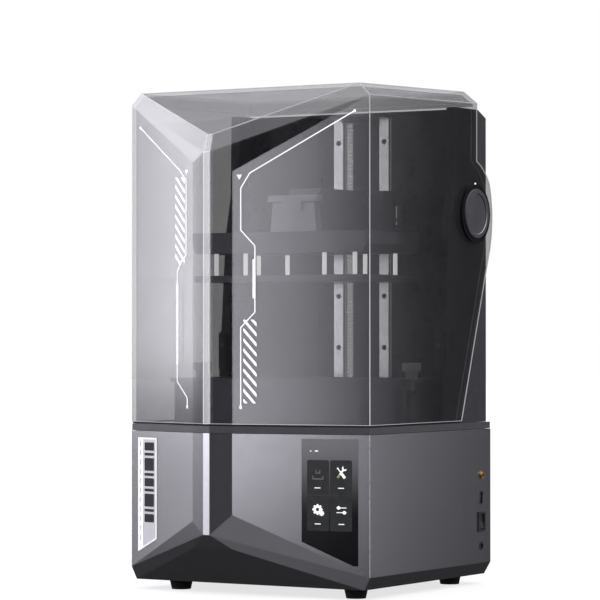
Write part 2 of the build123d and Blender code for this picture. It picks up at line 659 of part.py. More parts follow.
def guide_block(side, z):
    """Ball carriage that wraps a rail."""
    x = side * RAIL_X
    front = CHAMBER_REAR - RAIL[1]
    body = block(x - 13.5, x + 13.5, CARRIAGE_Y[1], CHAMBER_REAR - 1.4, z - 14, z + 14)
    width = RAIL[0] / 2 + GAP
    return body - block(x - width, x + width, front - GAP, CHAMBER_REAR, z - 15, z + 15)


def lead_nut():
    """Flanged nut on the spindle."""
    z0 = CARRIAGE_Z[0]
    body = rod(0, SCREW_Y, z0, z0 + 16, 6.9) + rod(0, SCREW_Y, z0 - 4, z0, 11)
    for angle in (45, 135, 225, 315):
        spot = Pos(0, SCREW_Y, 0) * Rot(0, 0, angle) * Pos(8.6, 0, 0)
        body -= spot * rod(0, 0, z0 - 5, z0 + 1, 1.3)
    return body - rod(0, SCREW_Y, z0 - 5, z0 + 17, SCREW_R + RUN)


build_plate = rounded(*PLATE_HALF, *BUILD_Z, 4)
node("carriage_arm", carriage_plate())
node("guide_blocks", *[guide_block(side, z) for side in (-1, 1) for z in (396.0, 428.0)])
node("lead_nut", lead_nut())
node("platform_neck", neck())
node("lever_pin", rod_x(-24.5, 24.5, *LEVER_PIVOT, 2.0))
node("clamp_lever", clamp_lever())
node("platform_carrier", carrier_plate())
node("guide_pins", *[guide_pin(x, y) for x, y in pin_places()])
node("plate_springs", *[pin_spring(x, y) for x, y in pin_places()])
node("build_plate", build_plate)


# ---------------------------------------------------------------- resin vat
def vat_frame():
    """Open tray with a rim, two clamp ears and a window in its floor."""
    z0, z1 = VAT_Z
    tray = rounded(*VAT_BODY, z0, z1, 10) + rounded(*VAT_RIM, z1 - VAT_LIP, z1, 12)
    for side in (-1, 1):
        x0, x1 = sorted((side * 120, side * 145))
        tray += block(x0, x1, KNOB_AT[1] - 12, KNOB_AT[1] + 12, z1 - VAT_LIP, z1)
    inner = [half - VAT_WALL for half in VAT_BODY]
    tray -= rounded(*inner, z0 + 3, z1 + 1, 7)
    tray -= block(-VAT_WINDOW[0], VAT_WINDOW[0], -VAT_WINDOW[1], VAT_WINDOW[1], z0 - 1, z0 + 4)
    for side in (-1, 1):
        tray -= rod(side * KNOB_AT[0], KNOB_AT[1], z1 - 5, z1 + 1, 3.2)
    return tray


def film_ring():
    """Flat ring that clamps the film under the tray."""
    ring = rounded(*VAT_BODY, DECK_Z[1] + 0.2, VAT_Z[0] - 0.3, 10)
    return ring - block(-VAT_WINDOW[0], VAT_WINDOW[0], -VAT_WINDOW[1], VAT_WINDOW[1], 180, 190)


def film_screw(x, y):
    """Small screw that rises through the ring into the tray floor."""
    return rod(x, y, DECK_Z[1] + 0.3, VAT_Z[0] + 2.0, FILM_SCREW_R)


def film_screw_places():
    """Screws spaced along all four sides of the ring."""
    long_side = [(-100 + 40 * i, s * 72.5) for s in (-1, 1) for i in range(6)]
    short_side = [(s * 120.5, -50 + 33.3 * j) for s in (-1, 1) for j in range(4)]
    return long_side + short_side


SCREWS = film_screw_places()
screw_holes = [rod(x, y, 180, VAT_Z[0] + 2.0, FILM_SCREW_R) for x, y in SCREWS]
film = rounded(VAT_BODY[0] - 1, VAT_BODY[1] - 1, VAT_Z[0] - 0.3, VAT_Z[0], 9)
node("vat_tray", vat_frame() - screw_holes)
node("vat_film", film - screw_holes)
node("vat_film_ring", film_ring() - screw_holes)
node("vat_screws", *[film_screw(x, y) for x, y in SCREWS])

KNOB_Z = (241.0, 250.0)
STEM_R = 2.5


def vat_knob():
    """Thumb screw: grooved head, tapered neck and a long stem."""
    x, y = KNOB_AT
    head = rod(x, y, *KNOB_Z, 10.5)
    head = chamfer(head.edges().group_by(Axis.Z)[-1], 1.0)
    for i in range(12):
        head -= Pos(x, y, 0) * Rot(0, 0, i * 30) * rod(11.2, 0, KNOB_Z[0] - 1, KNOB_Z[1] + 1, 1.4)
    collar = Pos(x, y, (VAT_Z[1] + GAP + KNOB_Z[0]) / 2) * Cone(6.0, 7.6, KNOB_Z[0] - VAT_Z[1] - GAP)
    return head + collar + rod(x, y, 178.5, VAT_Z[1] + 2, STEM_R)


def clamp_post():
    """Threaded post in the deck that takes the thumb screw."""
    x, y = KNOB_AT
    post = rod(x, y, DECK_Z[0], VAT_Z[1] - 12, 5.95)
    return post - rod(x, y, 177.5, VAT_Z[1], STEM_R + RUN)


node("vat_knob_right", vat_knob())
node("vat_knob_left", mirrored(vat_knob()))
node("clamp_posts", clamp_post(), mirrored(clamp_post()))


# ---------------------------------------------------------------- tower
TOWER_PROFILE = [(46.6, 182.8), (62.5, 371.0), (65.0, 398.0), (75.0, 440.0), (77.0, TOWER_TOP),
                 (129.5, TOWER_TOP), (TOWER_REAR, 525.5), (TOWER_REAR, 182.8)]
BEARING_HALF = 20.0
DAMPER_HALF = 19.0
HEADER_FRONT = 108.0        # the tower's top reaches forward to here, under the roof


def tower_solid(half, front, rear, top):
    """The tower's side profile with its front, rear and top edges moved inwards."""
    points = []
    for y, z in TOWER_PROFILE:
        y = y + front if y < 100 else min(y, TOWER_REAR - rear)
        points.append((y, z - top if z > 500 else z))
    return side_prism(points, -half, half)


def tower_housing():
    """Outer housing: side walls, rear wall and top of the U-shaped tower."""
    wall = TOWER_WALL
    outer = tower_solid(TOWER_HALF, 0, 0, 0)
    outer -= tower_solid(TOWER_HALF - wall, -30, wall, wall)
    outer += block(-TOWER_HALF, TOWER_HALF, HEADER_FRONT, CHAMBER_REAR, TOWER_TOP - wall, TOWER_TOP)
    outer -= block(-TOWER_INNER, TOWER_INNER, 0, CHAMBER_REAR, 180, TOWER_TOP - wall)
    outer -= block(-TOWER_INNER, TOWER_INNER, 0, HEADER_FRONT, 180, TOWER_TOP + 1)
    outer -= block(-TOWER_HALF + wall, TOWER_HALF - wall, 0, 160, 170, 183.5)
    outer -= rod_x(-160, 160, *HINGE, SPINDLE_R + 2)
    for i in range(9):
        z = 250 + 12 * i
        outer -= block(-45, 45, TOWER_REAR - 4, TOWER_REAR + 1, z, z + 4)
    return outer


def tower_liner():
    """Inner panels of the tower: rear wall with the column's recess, and the inside of both wings."""
    wall = TOWER_WALL
    liner = tower_solid(TOWER_HALF - wall - 0.1, 0, wall, wall + 0.2)
    liner -= tower_solid(TOWER_HALF, wall, 0, 0) & block(TOWER_INNER + wall, 200, 0, 200, 0, 600)
    liner -= tower_solid(TOWER_HALF, wall, 0, 0) & block(-200, -TOWER_INNER - wall, 0, 200, 0, 600)
    liner -= block(-TOWER_INNER, TOWER_INNER, 0, WALL_FRONT, 170, 600)
    liner -= block(-RECESS_HALF, RECESS_HALF, 0, CHAMBER_REAR, 170, 600)
    for side in (-1, 1):
        x0, x1 = sorted((side * (RECESS_HALF + wall), side * TOWER_INNER))
        liner -= block(x0, x1, WALL_FRONT + wall, 200, 170, 600)
    liner -= block(-200, 200, CHAMBER_REAR + wall, 200, 170, 600)
    liner -= block(-COLUMN_HALF, COLUMN_HALF, 100, 160, 170, 600)
    return liner - rod_x(-160, 160, *HINGE, SPINDLE_R + 2)


def hinge_bearing():
    """Block between the two walls of a wing that carries the lid spindle."""
    y, z = HINGE
    body = block(TOWER_INNER + TOWER_WALL, TOWER_HALF - TOWER_WALL, y - BEARING_HALF, y + 14,
                 z - BEARING_HALF, z + BEARING_HALF)
    return body - rod_x(130, 160, y, z, SPINDLE_R + RUN)


def hinge_damper():
    """Friction block in front of the hinge bearing, between the two walls of a wing."""
    y, z = HINGE
    inner, outer = TOWER_INNER + TOWER_WALL, TOWER_HALF - TOWER_WALL
    return block(inner, outer, y - 35.5, y - BEARING_HALF, z - DAMPER_HALF, z + DAMPER_HALF)


node("tower_housing", tower_housing())
node("tower_liner", tower_liner())
node("hinge_bearings", hinge_bearing(), mirrored(hinge_bearing()))
node("hinge_dampers", hinge_damper(), mirrored(hinge_damper()))


# ---------------------------------------------------------------- lid
def lid_outline():
    """Side outline of the lid: prow to roof, the round hinge lobe and the slanted rear edge."""
    low = Polyline((LID_REAR_Y, 476.0), (LID_REAR_Y, 600), (PROW_Y - 5, 600), (PROW_Y - 5, LID_BOTTOM),
                   (83.4, LID_BOTTOM), (139.0, 345.5), (149.2, 373.5))
    lobe = ThreePointArc((149.2, 373.5), (155.6, 413.5), (149.2, 451.6))
    shoulder = ThreePointArc((149.2, 451.6), (138.0, 464.5), (LID_REAR_Y, 476.0))
    return Plane.YZ * make_face([*low.edges(), lobe, shoulder])


def lid_shell():
    """Faceted transparent cover, open below and behind."""
    outer = lid_envelope(0, LID_BOTTOM, 158)
    inner = lid_envelope(LID_WALL, LID_BOTTOM - 1, 170)
    shell = outer - inner
    inside = HALF_WIDTH - LID_WALL
    shell -= block(-inside, inside, 90, 170, LID_BOTTOM - 1, 537.0)
    shell = shell & extrude(lid_outline(), amount=200, both=True)
    return shell - rod_x(-160, 160, *HINGE, SPINDLE_R)


def lid_gasket():
    """Soft strip under the lid's front and side walls."""
    low, high = DECK_Z[1] + 0.3, LID_BOTTOM
    strip = lid_envelope(1.0, low, 80) & block(-200, 200, -200, 80, low, high)
    return strip - lid_envelope(3.0, low - 1, 81)


def hub_cap():
    """Round hinge cap with a raised rim and a shallow dish."""
    y, z = HINGE
    cap = rod_x(HALF_WIDTH, HALF_WIDTH + 3.2, y, z, HUB_CAP_R)
    cap = fillet(cap.edges().group_by(Axis.X)[-1], 1.2)
    cap -= rod_x(HALF_WIDTH + 1.8, HALF_WIDTH + 4, y, z, HUB_CAP_R - 5)
    return cap


def hub_ring():
    """Flat dark ring around the cap."""
    y, z = HINGE
    ring = rod_x(HALF_WIDTH, HALF_WIDTH + 1.4, y, z, HUB_RING_R)
    return ring - rod_x(HALF_WIDTH - 1, HALF_WIDTH + 2, y, z, HUB_CAP_R + 0.1)


def hinge_spindle():
    """Spindle fixed to the lid that turns in the wing's bearing."""
    return rod_x(TOWER_INNER + 1, HALF_WIDTH, *HINGE, SPINDLE_R)


node("lid_shell", lid_shell())
node("lid_gasket", lid_gasket())
node("hub_caps", hub_cap(), mirrored(hub_cap()))
node("hub_rings", hub_ring(), mirrored(hub_ring()))
node("hinge_spindles", hinge_spindle(), mirrored(hinge_spindle()))

for name, shape in nodes.items():
    export_step(shape, "parts/" + name + ".step")
print(len(nodes), "nodes")
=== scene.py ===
"""Looks of the resin printer: finishes for every CAD part, and the fine detail that rides on them."""
import math

import bmesh
import bpy
from mathutils import Matrix, Vector


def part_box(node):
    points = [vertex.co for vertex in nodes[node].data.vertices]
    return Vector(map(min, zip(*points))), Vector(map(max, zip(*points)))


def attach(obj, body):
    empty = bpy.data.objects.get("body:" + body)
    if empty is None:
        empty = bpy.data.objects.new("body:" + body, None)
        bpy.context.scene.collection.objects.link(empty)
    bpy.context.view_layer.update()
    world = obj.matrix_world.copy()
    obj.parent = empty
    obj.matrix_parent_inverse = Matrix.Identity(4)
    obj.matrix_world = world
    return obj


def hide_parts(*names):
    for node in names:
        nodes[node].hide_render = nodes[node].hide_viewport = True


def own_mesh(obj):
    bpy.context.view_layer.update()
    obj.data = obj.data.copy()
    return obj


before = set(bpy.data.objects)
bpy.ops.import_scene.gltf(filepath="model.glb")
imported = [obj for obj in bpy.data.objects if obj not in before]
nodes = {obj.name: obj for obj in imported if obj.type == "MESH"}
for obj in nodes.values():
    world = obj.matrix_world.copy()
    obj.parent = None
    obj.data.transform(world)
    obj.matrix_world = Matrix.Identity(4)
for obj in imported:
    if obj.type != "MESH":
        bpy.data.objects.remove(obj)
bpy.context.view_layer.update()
MM = 0.001

# ---------------------------------------------------------------- camera
CAMERA_AT = Vector((1.7479, -2.8442, 0.2834))
CAMERA_TURN = (90.62, 0.0, 31.68)       # degrees about X, Y, Z
CAMERA_LENS = 179.49                    # millimetres
SENSOR_WIDTH = 36.0                     # millimetres
CAMERA_REACH = 60.0                     # metres, past the far edge of the floor


def make_camera():
    """The camera of the main view."""
    data = bpy.data.cameras.new("camera")
    data.lens = CAMERA_LENS
    data.sensor_width = SENSOR_WIDTH
    data.clip_end = CAMERA_REACH
    camera = bpy.data.objects.new("camera", data)
    bpy.context.scene.collection.objects.link(camera)
    camera.location = CAMERA_AT
    camera.rotation_euler = [math.radians(a) for a in CAMERA_TURN]
    bpy.context.scene.camera = camera


# ---------------------------------------------------------------- studio
# Each glow is a soft-edged bright field of the surround: its radiance, then where it sets in, is
# full, starts to fade and is gone, first along azimuth and then along elevation, in degrees.
# Azimuth 0 is in front of the printer and grows towards +X.
GLOWS = {
    "left": (5.4, (-72.3, -68.3, -62.0, -58.8), (-2.0, -0.2, 24, 36)),
    "left_low": (1.2, (-72.5, -68.4, -62.5, -59.0), (-10, -3, -2.3, -1.2)),
    "ridge": (5.2, (-37, -36, -31.2, -30.6), (-2.4, -1.8, 22, 28)),
    "ridge_low": (2.5, (-37, -36, -31.2, -30.6), (-14, -4, -2.4, -1.8)),
    "front": (2.7, (-13, -11, -8.7, -5.0), (-2.4, -1.8, 5.4, 7.6)),
    "front_low": (2.4, (-13, -11, -9.4, -5.0), (-5.2, -2.2, -2.2, -1.8)),
    "front_facet": (0.35, (-17, -14, -8, -5), (-17, -12, -8, -6)),
    "front_high": (1.1, (-24, -18, -6, 0), (13, 16, 30, 40)),
    "apex": (1.6, (-60, -50, -40, -30), (30, 36, 60, 80)),
    "right": (0.65, (10, 40, 90, 120), (-6, 6, 50, 80)),
    "right_rear": (1.15, (120, 130, 147.5, 150.9), (-10, 0, 20, 40)),
    "rear_left": (1.2, (-175, -165, -120, -100), (-14, -4, 20, 40)),
}
AMBIENT = 0.045             # radiance of the surround between the glows
SKY = (1.5, 20.0, 46.0)     # radiance overhead, and the elevations where it sets in and is full
COOL_LIGHT = (1.0, 0.985, 1.07, 1)
WHITE = (1, 1, 1, 1)
BACKDROP = 1.0              # what the camera sees of the surround
FLOOR_HALF = 12.0
FLOOR_SEEN = 0.28           # tone of the floor for the camera, and for the light that it returns
FLOOR_REAL = 0.16
FLOOR_GLOW = 0.75           # brings the floor that the camera sees up to white


def soft_step(tree, value, low, high, falling=False):
    """0 to 1 between two values, smoothly, or 1 to 0 when falling."""
    step = tree.nodes.new("ShaderNodeMapRange")
    step.interpolation_type = "SMOOTHSTEP"
    step.inputs["From Min"].default_value = low
    step.inputs["From Max"].default_value = high
    step.inputs["To Min"].default_value = 1.0 if falling else 0.0
    step.inputs["To Max"].default_value = 0.0 if falling else 1.0
    tree.links.new(value, step.inputs["Value"])
    return step.outputs["Result"]


def combine(tree, operation, first, second):
    """A math node on two sockets or numbers."""
    node = tree.nodes.new("ShaderNodeMath")
    node.operation = operation
    for slot, value in zip(node.inputs, (first, second)):
        if isinstance(value, (int, float)):
            slot.default_value = value
        else:
            tree.links.new(value, slot)
    return node.outputs[0]


def make_world():
    """A white backdrop for the camera, and a dim surround with soft glows for everything else."""
    world = bpy.data.worlds.new("surround")
    bpy.context.scene.world = world
    world.use_nodes = True
    tree = world.node_tree
    place = tree.nodes.new("ShaderNodeTexCoord")
    split = tree.nodes.new("ShaderNodeSeparateXYZ")
    tree.links.new(place.outputs["Generated"], split.inputs[0])
    forward = combine(tree, "MULTIPLY", split.outputs["Y"], -1.0)
    degrees = 180 / math.pi
    heading = combine(tree, "ARCTAN2", split.outputs["X"], forward)
    azimuth = combine(tree, "MULTIPLY", heading, degrees)
    climb = combine(tree, "ARCSINE", split.outputs["Z"], 0.0)
    elevation = combine(tree, "MULTIPLY", climb, degrees)
    sky, sky_low, sky_high = SKY
    total = combine(tree, "MULTIPLY", soft_step(tree, elevation, sky_low, sky_high), sky)
    total = combine(tree, "ADD", total, AMBIENT)
    for radiance, across, upwards in GLOWS.values():
        glow = radiance
        for value, (rise, full, fade, gone) in ((azimuth, across), (elevation, upwards)):
            glow = combine(tree, "MULTIPLY", glow, soft_step(tree, value, rise, full))
            glow = combine(tree, "MULTIPLY", glow, soft_step(tree, value, fade, gone, falling=True))
        total = combine(tree, "ADD", total, glow)
    path = tree.nodes.new("ShaderNodeLightPath")
    mix = tree.nodes.new("ShaderNodeMix")
    tree.links.new(path.outputs["Is Camera Ray"], mix.inputs["Factor"])
    tree.links.new(total, mix.inputs["A"])
    mix.inputs["B"].default_value = BACKDROP
    tree.links.new(mix.outputs["Result"], tree.nodes["Background"].inputs["Strength"])
    tint = tree.nodes.new("ShaderNodeMix")
    tint.data_type = "RGBA"
    tint.inputs[6].default_value = COOL_LIGHT
    tint.inputs[7].default_value = WHITE
    tree.links.new(path.outputs["Is Camera Ray"], tint.inputs[0])
    tree.links.new(tint.outputs[2], tree.nodes["Background"].inputs["Color"])


def make_floor():
    """A pale floor under the printer. Reflections look through it at the surround below."""
    mesh = bpy.data.meshes.new("studio_floor")
    half = FLOOR_HALF
    corners = [(-half, -half, 0), (half, -half, 0), (half, half, 0), (-half, half, 0)]
    mesh.from_pydata(corners, [], [(0, 1, 2, 3)])
    floor = bpy.data.objects.new("studio_floor", mesh)
    bpy.context.scene.collection.objects.link(floor)
    material = bpy.data.materials.new("studio_floor")
    material.use_nodes = True
    tree = material.node_tree
    tree.nodes.remove(tree.nodes["Principled BSDF"])
    path = tree.nodes.new("ShaderNodeLightPath")
    camera_ray = path.outputs["Is Camera Ray"]
    diffuse = tree.nodes.new("ShaderNodeBsdfDiffuse")
    tone = combine(tree, "MULTIPLY_ADD", camera_ray, FLOOR_SEEN - FLOOR_REAL)
    tone.node.inputs[2].default_value = FLOOR_REAL
    tree.links.new(tone, diffuse.inputs["Color"])
    glow = tree.nodes.new("ShaderNodeEmission")
    tree.links.new(combine(tree, "MULTIPLY", camera_ray, FLOOR_GLOW), glow.inputs["Strength"])
    add = tree.nodes.new("ShaderNodeAddShader")
    tree.links.new(diffuse.outputs[0], add.inputs[0])
    tree.links.new(glow.outputs[0], add.inputs[1])
    clear = tree.nodes.new("ShaderNodeBsdfTransparent")
    choose = tree.nodes.new("ShaderNodeMixShader")
    tree.links.new(path.outputs["Is Glossy Ray"], choose.inputs[0])
    tree.links.new(add.outputs[0], choose.inputs[1])
    tree.links.new(clear.outputs[0], choose.inputs[2])
    tree.links.new(choose.outputs[0], tree.nodes["Material Output"].inputs["Surface"])
    mesh.materials.append(material)


def make_studio():
    """White seamless studio lit by the soft glows of its surround."""
    bpy.context.scene.view_settings.view_transform = "Standard"
    make_world()
    make_floor()


# ---------------------------------------------------------------- finishes
NOISE_LOW, NOISE_HIGH = 0.3, 0.7                # where most of a noise texture's values lie
BUMP_DISTANCE = 0.2 * MM
FLAKE_SCALE = 2600.0        # flakes per metre, roughly
FLAKE_COLOUR = 0.35         # how much of its colour a metal flake keeps


def finish_material(name, colour, roughness, metallic=0.0, spread=0.12, tone_scale=60.0,
                    rough_spread=0.06, rough_scale=140.0, bump=0.0, bump_scale=900.0,
                    stretch=(1, 1, 1), specular=0.5, alpha=1.0, transmission=0.0, ior=1.5,
                    flake=0.0, glow=0.0, fade=None):
    """A procedural finish: tone and roughness clouds, fine bump, and optional metal flake.

    fade is a pair of heights and the grey added at the lower and the upper one: a painted sheen, lighter
    towards the top of the screen glass.
    """
    material = bpy.data.materials.new(name + "_finish")
    material.use_nodes = True
    tree = material.node_tree
    shader = tree.nodes["Principled BSDF"]
    shader.inputs["Metallic"].default_value = metallic
    shader.inputs["Specular IOR Level"].default_value = specular
    shader.inputs["IOR"].default_value = ior
    shader.inputs["Transmission Weight"].default_value = transmission
    shader.inputs["Alpha"].default_value = alpha
    shader.inputs["Emission Color"].default_value = WHITE
    # glow is emission: except on the screen's lit icons it is painted light, a part that is no lamp made
    # brighter than its lighting makes it
    shader.inputs["Emission Strength"].default_value = glow

    place = tree.nodes.new("ShaderNodeTexCoord")
    mapping = tree.nodes.new("ShaderNodeMapping")
    mapping.inputs["Scale"].default_value = stretch
    tree.links.new(place.outputs["Object"], mapping.inputs["Vector"])

    def noise(scale, detail):
        texture = tree.nodes.new("ShaderNodeTexNoise")
        texture.inputs["Scale"].default_value = scale
        texture.inputs["Detail"].default_value = detail
        tree.links.new(mapping.outputs["Vector"], texture.inputs["Vector"])
        return texture.outputs["Fac"]

    def remap(source, low, high):
        ranged = tree.nodes.new("ShaderNodeMapRange")
        ranged.inputs["From Min"].default_value = NOISE_LOW
        ranged.inputs["From Max"].default_value = NOISE_HIGH
        ranged.inputs["To Min"].default_value = low
        ranged.inputs["To Max"].default_value = high
        tree.links.new(source, ranged.inputs["Value"])
        return ranged.outputs["Result"]

    tint = tree.nodes.new("ShaderNodeMix")
    tint.data_type = "RGBA"
    tint.inputs[6].default_value = (*[c * (1 - spread) for c in colour], 1)
    tint.inputs[7].default_value = (*[min(1.0, c * (1 + spread)) for c in colour], 1)
    tree.links.new(remap(noise(tone_scale, detail=3.0), 0.0, 1.0), tint.inputs[0])
    shade = tint.outputs[2]
    if flake:
        sparkle = tree.nodes.new("ShaderNodeTexVoronoi")
        sparkle.inputs["Scale"].default_value = FLAKE_SCALE
        tree.links.new(mapping.outputs["Vector"], sparkle.inputs["Vector"])
        lift = tree.nodes.new("ShaderNodeMix")
        lift.data_type = "RGBA"
        lift.blend_type = "OVERLAY"
        lift.inputs[0].default_value = flake
        tree.links.new(shade, lift.inputs[6])
        tree.links.new(sparkle.outputs["Color"], lift.inputs[7])
        grey = tree.nodes.new("ShaderNodeHueSaturation")
        grey.inputs["Saturation"].default_value = FLAKE_COLOUR
        tree.links.new(lift.outputs[2], grey.inputs["Color"])
        shade = grey.outputs["Color"]
    # painted sheen: grey added to the colour, rising with height, in place of a reflection on the screen
    # glass
    if fade:
        heights, sheen_greys = fade
        height = tree.nodes.new("ShaderNodeSeparateXYZ")
        tree.links.new(place.outputs["Object"], height.inputs[0])
        ranged = tree.nodes.new("ShaderNodeMapRange")
        ranged.interpolation_type = "SMOOTHSTEP"
        for socket, value in zip(("From Min", "From Max", "To Min", "To Max"), heights + sheen_greys):
            ranged.inputs[socket].default_value = value
        tree.links.new(height.outputs["Z"], ranged.inputs["Value"])
        painted_sheen = tree.nodes.new("ShaderNodeMix")
        painted_sheen.data_type = "RGBA"
        painted_sheen.blend_type = "ADD"
        painted_sheen.inputs[0].default_value = 1.0
        tree.links.new(shade, painted_sheen.inputs[6])
        tree.links.new(ranged.outputs["Result"], painted_sheen.inputs[7])
        shade = painted_sheen.outputs[2]
    tree.links.new(shade, shader.inputs["Base Color"])

    smoothest = max(0.0, roughness - rough_spread)
    polish = remap(noise(rough_scale, detail=4.0), smoothest, roughness + rough_spread)
    tree.links.new(polish, shader.inputs["Roughness"])
    if bump:
        relief = tree.nodes.new("ShaderNodeBump")
        relief.inputs["Strength"].default_value = bump
        relief.inputs["Distance"].default_value = BUMP_DISTANCE
        tree.links.new(noise(bump_scale, detail=2.0), relief.inputs["Height"])
        tree.links.new(relief.outputs["Normal"], shader.inputs["Normal"])
    return material


FINISHES = {
    "base_paint": dict(colour=(0.300, 0.295, 0.318), roughness=0.135, metallic=0.9, flake=0.03,
                       bump=0.04, bump_scale=1500.0, spread=0.02, rough_spread=0.006),
    "deck_paint": dict(colour=(0.110, 0.108, 0.118), roughness=0.30, metallic=0.7, flake=0.06,
                       bump=0.06, bump_scale=1500.0, spread=0.05, rough_spread=0.02),
    "rubber_black": dict(colour=(0.012, 0.012, 0.012), roughness=0.74, bump=0.35, bump_scale=1100.0),
    "lid_smoke": dict(colour=(0.014, 0.013, 0.016), roughness=0.08, rough_spread=0.01, rough_scale=30.0,
                      specular=1.0, alpha=0.41, ior=1.9),
    "tower_black": dict(colour=(0.034, 0.034, 0.037), roughness=0.46, bump=0.28, bump_scale=1300.0),
    "liner_dark": dict(colour=(0.012, 0.012, 0.014), roughness=0.30, bump=0.08, bump_scale=1300.0,
                       specular=0.35),
    "column_metal": dict(colour=(0.070, 0.066, 0.074), roughness=0.34, metallic=0.55, spread=0.05,
                         rough_spread=0.02, stretch=(1, 1, 0.08), bump=0.06, bump_scale=700.0),
    # painted highlight: the rails, lead screw and guide pins glow, brighter than their lighting makes
    # them
    "rail_steel": dict(colour=(0.86, 0.86, 0.88), roughness=0.14, metallic=0.9, spread=0.05,
                       rough_spread=0.02, stretch=(1, 1, 0.03), bump=0.05, glow=0.33),
    "screw_steel": dict(colour=(0.80, 0.80, 0.82), roughness=0.26, metallic=0.8, spread=0.1,
                        rough_spread=0.02, stretch=(1, 1, 3), glow=0.32),
    "pin_chrome": dict(colour=(0.95, 0.95, 0.97), roughness=0.22, metallic=0.6, rough_spread=0.03,
                       stretch=(1, 1, 0.1), glow=1.05),
    "platform_alu": dict(colour=(0.190, 0.186, 0.204), roughness=0.30, metallic=0.6, spread=0.03,
                         rough_spread=0.01),
    # painted sheen: the screen glass is lighter towards its top
    "glass_black": dict(colour=(0.008, 0.008, 0.009), roughness=0.05, rough_spread=0.01, specular=0.25,
                        fade=((0.085, 0.175), (0.0, 0.22))),
    "mask_glass": dict(colour=(0.012, 0.013, 0.020), roughness=0.12, rough_spread=0.04, specular=0.7),
    "lens_clear": dict(colour=(0.85, 0.87, 0.90), roughness=0.05, rough_spread=0.02, transmission=0.9),
    "film_clear": dict(colour=(0.80, 0.82, 0.86), roughness=0.10, rough_spread=0.05, alpha=0.28),
    # painted light: a faint glow on the badge plate
    "badge_silver": dict(colour=(0.74, 0.74, 0.77), roughness=0.34, metallic=0.2, spread=0.04,
                         stretch=(1, 1, 0.05), bump=0.06, glow=0.06),
    # painted light: the black knob is given a mid grey and a faint glow, so that it looks lit
    "knob_black": dict(colour=(0.240, 0.240, 0.250), roughness=0.34, bump=0.20, bump_scale=1000.0,
                       glow=0.03),
    "hub_dark": dict(colour=(0.070, 0.070, 0.074), roughness=0.34, bump=0.18, bump_scale=1500.0,
                     metallic=0.3),
    "board_green": dict(colour=(0.010, 0.062, 0.030), roughness=0.40, spread=0.35, tone_scale=220.0,
                        bump=0.3, bump_scale=500.0),
    "trim_black": dict(colour=(0.020, 0.020, 0.021), roughness=0.48, bump=0.25, bump_scale=1200.0),
    "steel_dark": dict(colour=(0.150, 0.150, 0.156), roughness=0.32, metallic=0.9, spread=0.25),
    "brass": dict(colour=(0.62, 0.43, 0.17), roughness=0.26, metallic=1.0, spread=0.18),
    "spring_steel": dict(colour=(0.50, 0.50, 0.52), roughness=0.24, metallic=1.0),
    # finishes of pieces made here, and of the parts in NODE_FINISHES
    # painted light: the white print glows
    "white_ink": dict(colour=(0.84, 0.84, 0.86), roughness=0.50, spread=0.03, bump=0.10, glow=0.75),
    # painted highlight: bright glowing lines on the lid's edges
    "painted_edge_highlight": dict(colour=(0.86, 0.86, 0.89), roughness=0.16, spread=0.04, specular=0.8,
                          glow=0.30),
    "screen_tile": dict(colour=(0.024, 0.026, 0.024), roughness=0.24, spread=0.10),
    "screen_light": dict(colour=(0.82, 0.84, 0.80), roughness=0.30, spread=0.02, glow=0.55),
    "screen_dim": dict(colour=(0.17, 0.18, 0.17), roughness=0.30, spread=0.04),
    "screen_green": dict(colour=(0.44, 0.55, 0.22), roughness=0.30, spread=0.04),
    # painted light: the badge's white outline glows
    "badge_white": dict(colour=(0.90, 0.90, 0.92), roughness=0.42, spread=0.03, glow=0.6),
    "neck_alu": dict(colour=(0.60, 0.60, 0.64), roughness=0.30, metallic=0.6, spread=0.03,
                     rough_spread=0.01),
    "ring_black": dict(colour=(0.006, 0.006, 0.007), roughness=0.40, specular=0.08, bump=0.1),
    # painted shade: the rails' flanks much darker than their glowing tops
    "rail_flank_shade": dict(colour=(0.060, 0.060, 0.064), roughness=0.45, metallic=0.3, spread=0.1,
                        stretch=(1, 1, 0.05)),
    # painted highlight: the bright line down the base's front corners
    "painted_corner_highlight": dict(colour=(0.56, 0.56, 0.60), roughness=0.30, metallic=0.5, spread=0.03, glow=0.08),
    "badge_ink": dict(colour=(0.016, 0.016, 0.020), roughness=0.42, spread=0.08),
}
# Parts that differ from their slot's usual finish.
NODE_FINISHES = {"platform_neck": "neck_alu", "clamp_lever": "neck_alu", "antenna_socket": "brass",
                 "usb_port": "steel_dark", "hub_rings": "ring_black"}
finishes = {}               # filled by finish_of


def finish_of(slot):
    """The finish of a material slot, made once."""
    if slot not in finishes:
        finishes[slot] = finish_material(slot, **FINISHES[slot])
    return finishes[slot]


def dress_cad_nodes():
    """Every CAD part keeps its shape and gets the finish that its slot asks for."""
    for name, part in nodes.items():
        for holder in part.material_slots:
            slot = NODE_FINISHES.get(name, holder.material.name.split(".")[0])
            holder.link = "OBJECT"
            holder.material = finish_of(slot)


# ---------------------------------------------------------------- mesh helpers
def piece_from(bm, name, body, finish, smooth=False):
    """Turn a bmesh in the shared frame into a piece on a body."""
    bmesh.ops.recalc_face_normals(bm, faces=bm.faces)
    mesh = bpy.data.meshes.new(name)
    bm.to_mesh(mesh)
    bm.free()
    for polygon in mesh.polygons:
        polygon.use_smooth = smooth
    mesh.materials.append(finish_of(finish))
    piece = bpy.data.objects.new(name, mesh)
    bpy.context.scene.collection.objects.link(piece)
    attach(piece, body)
    return piece


def add_prism(bm, outline, place, low, high):
    """A closed prism: outline in millimetres in a local plane, from low to high along its normal."""
    rings = [[bm.verts.new(place @ (Vector((x, y, height)) * MM)) for x, y in outline]
             for height in (low, high)]
    bm.faces.new(rings[0][::-1])
    bm.faces.new(rings[1])
    count = len(outline)
    for i in range(count):
        j = (i + 1) % count
        bm.faces.new((rings[0][i], rings[0][j], rings[1][j], rings[1][i]))


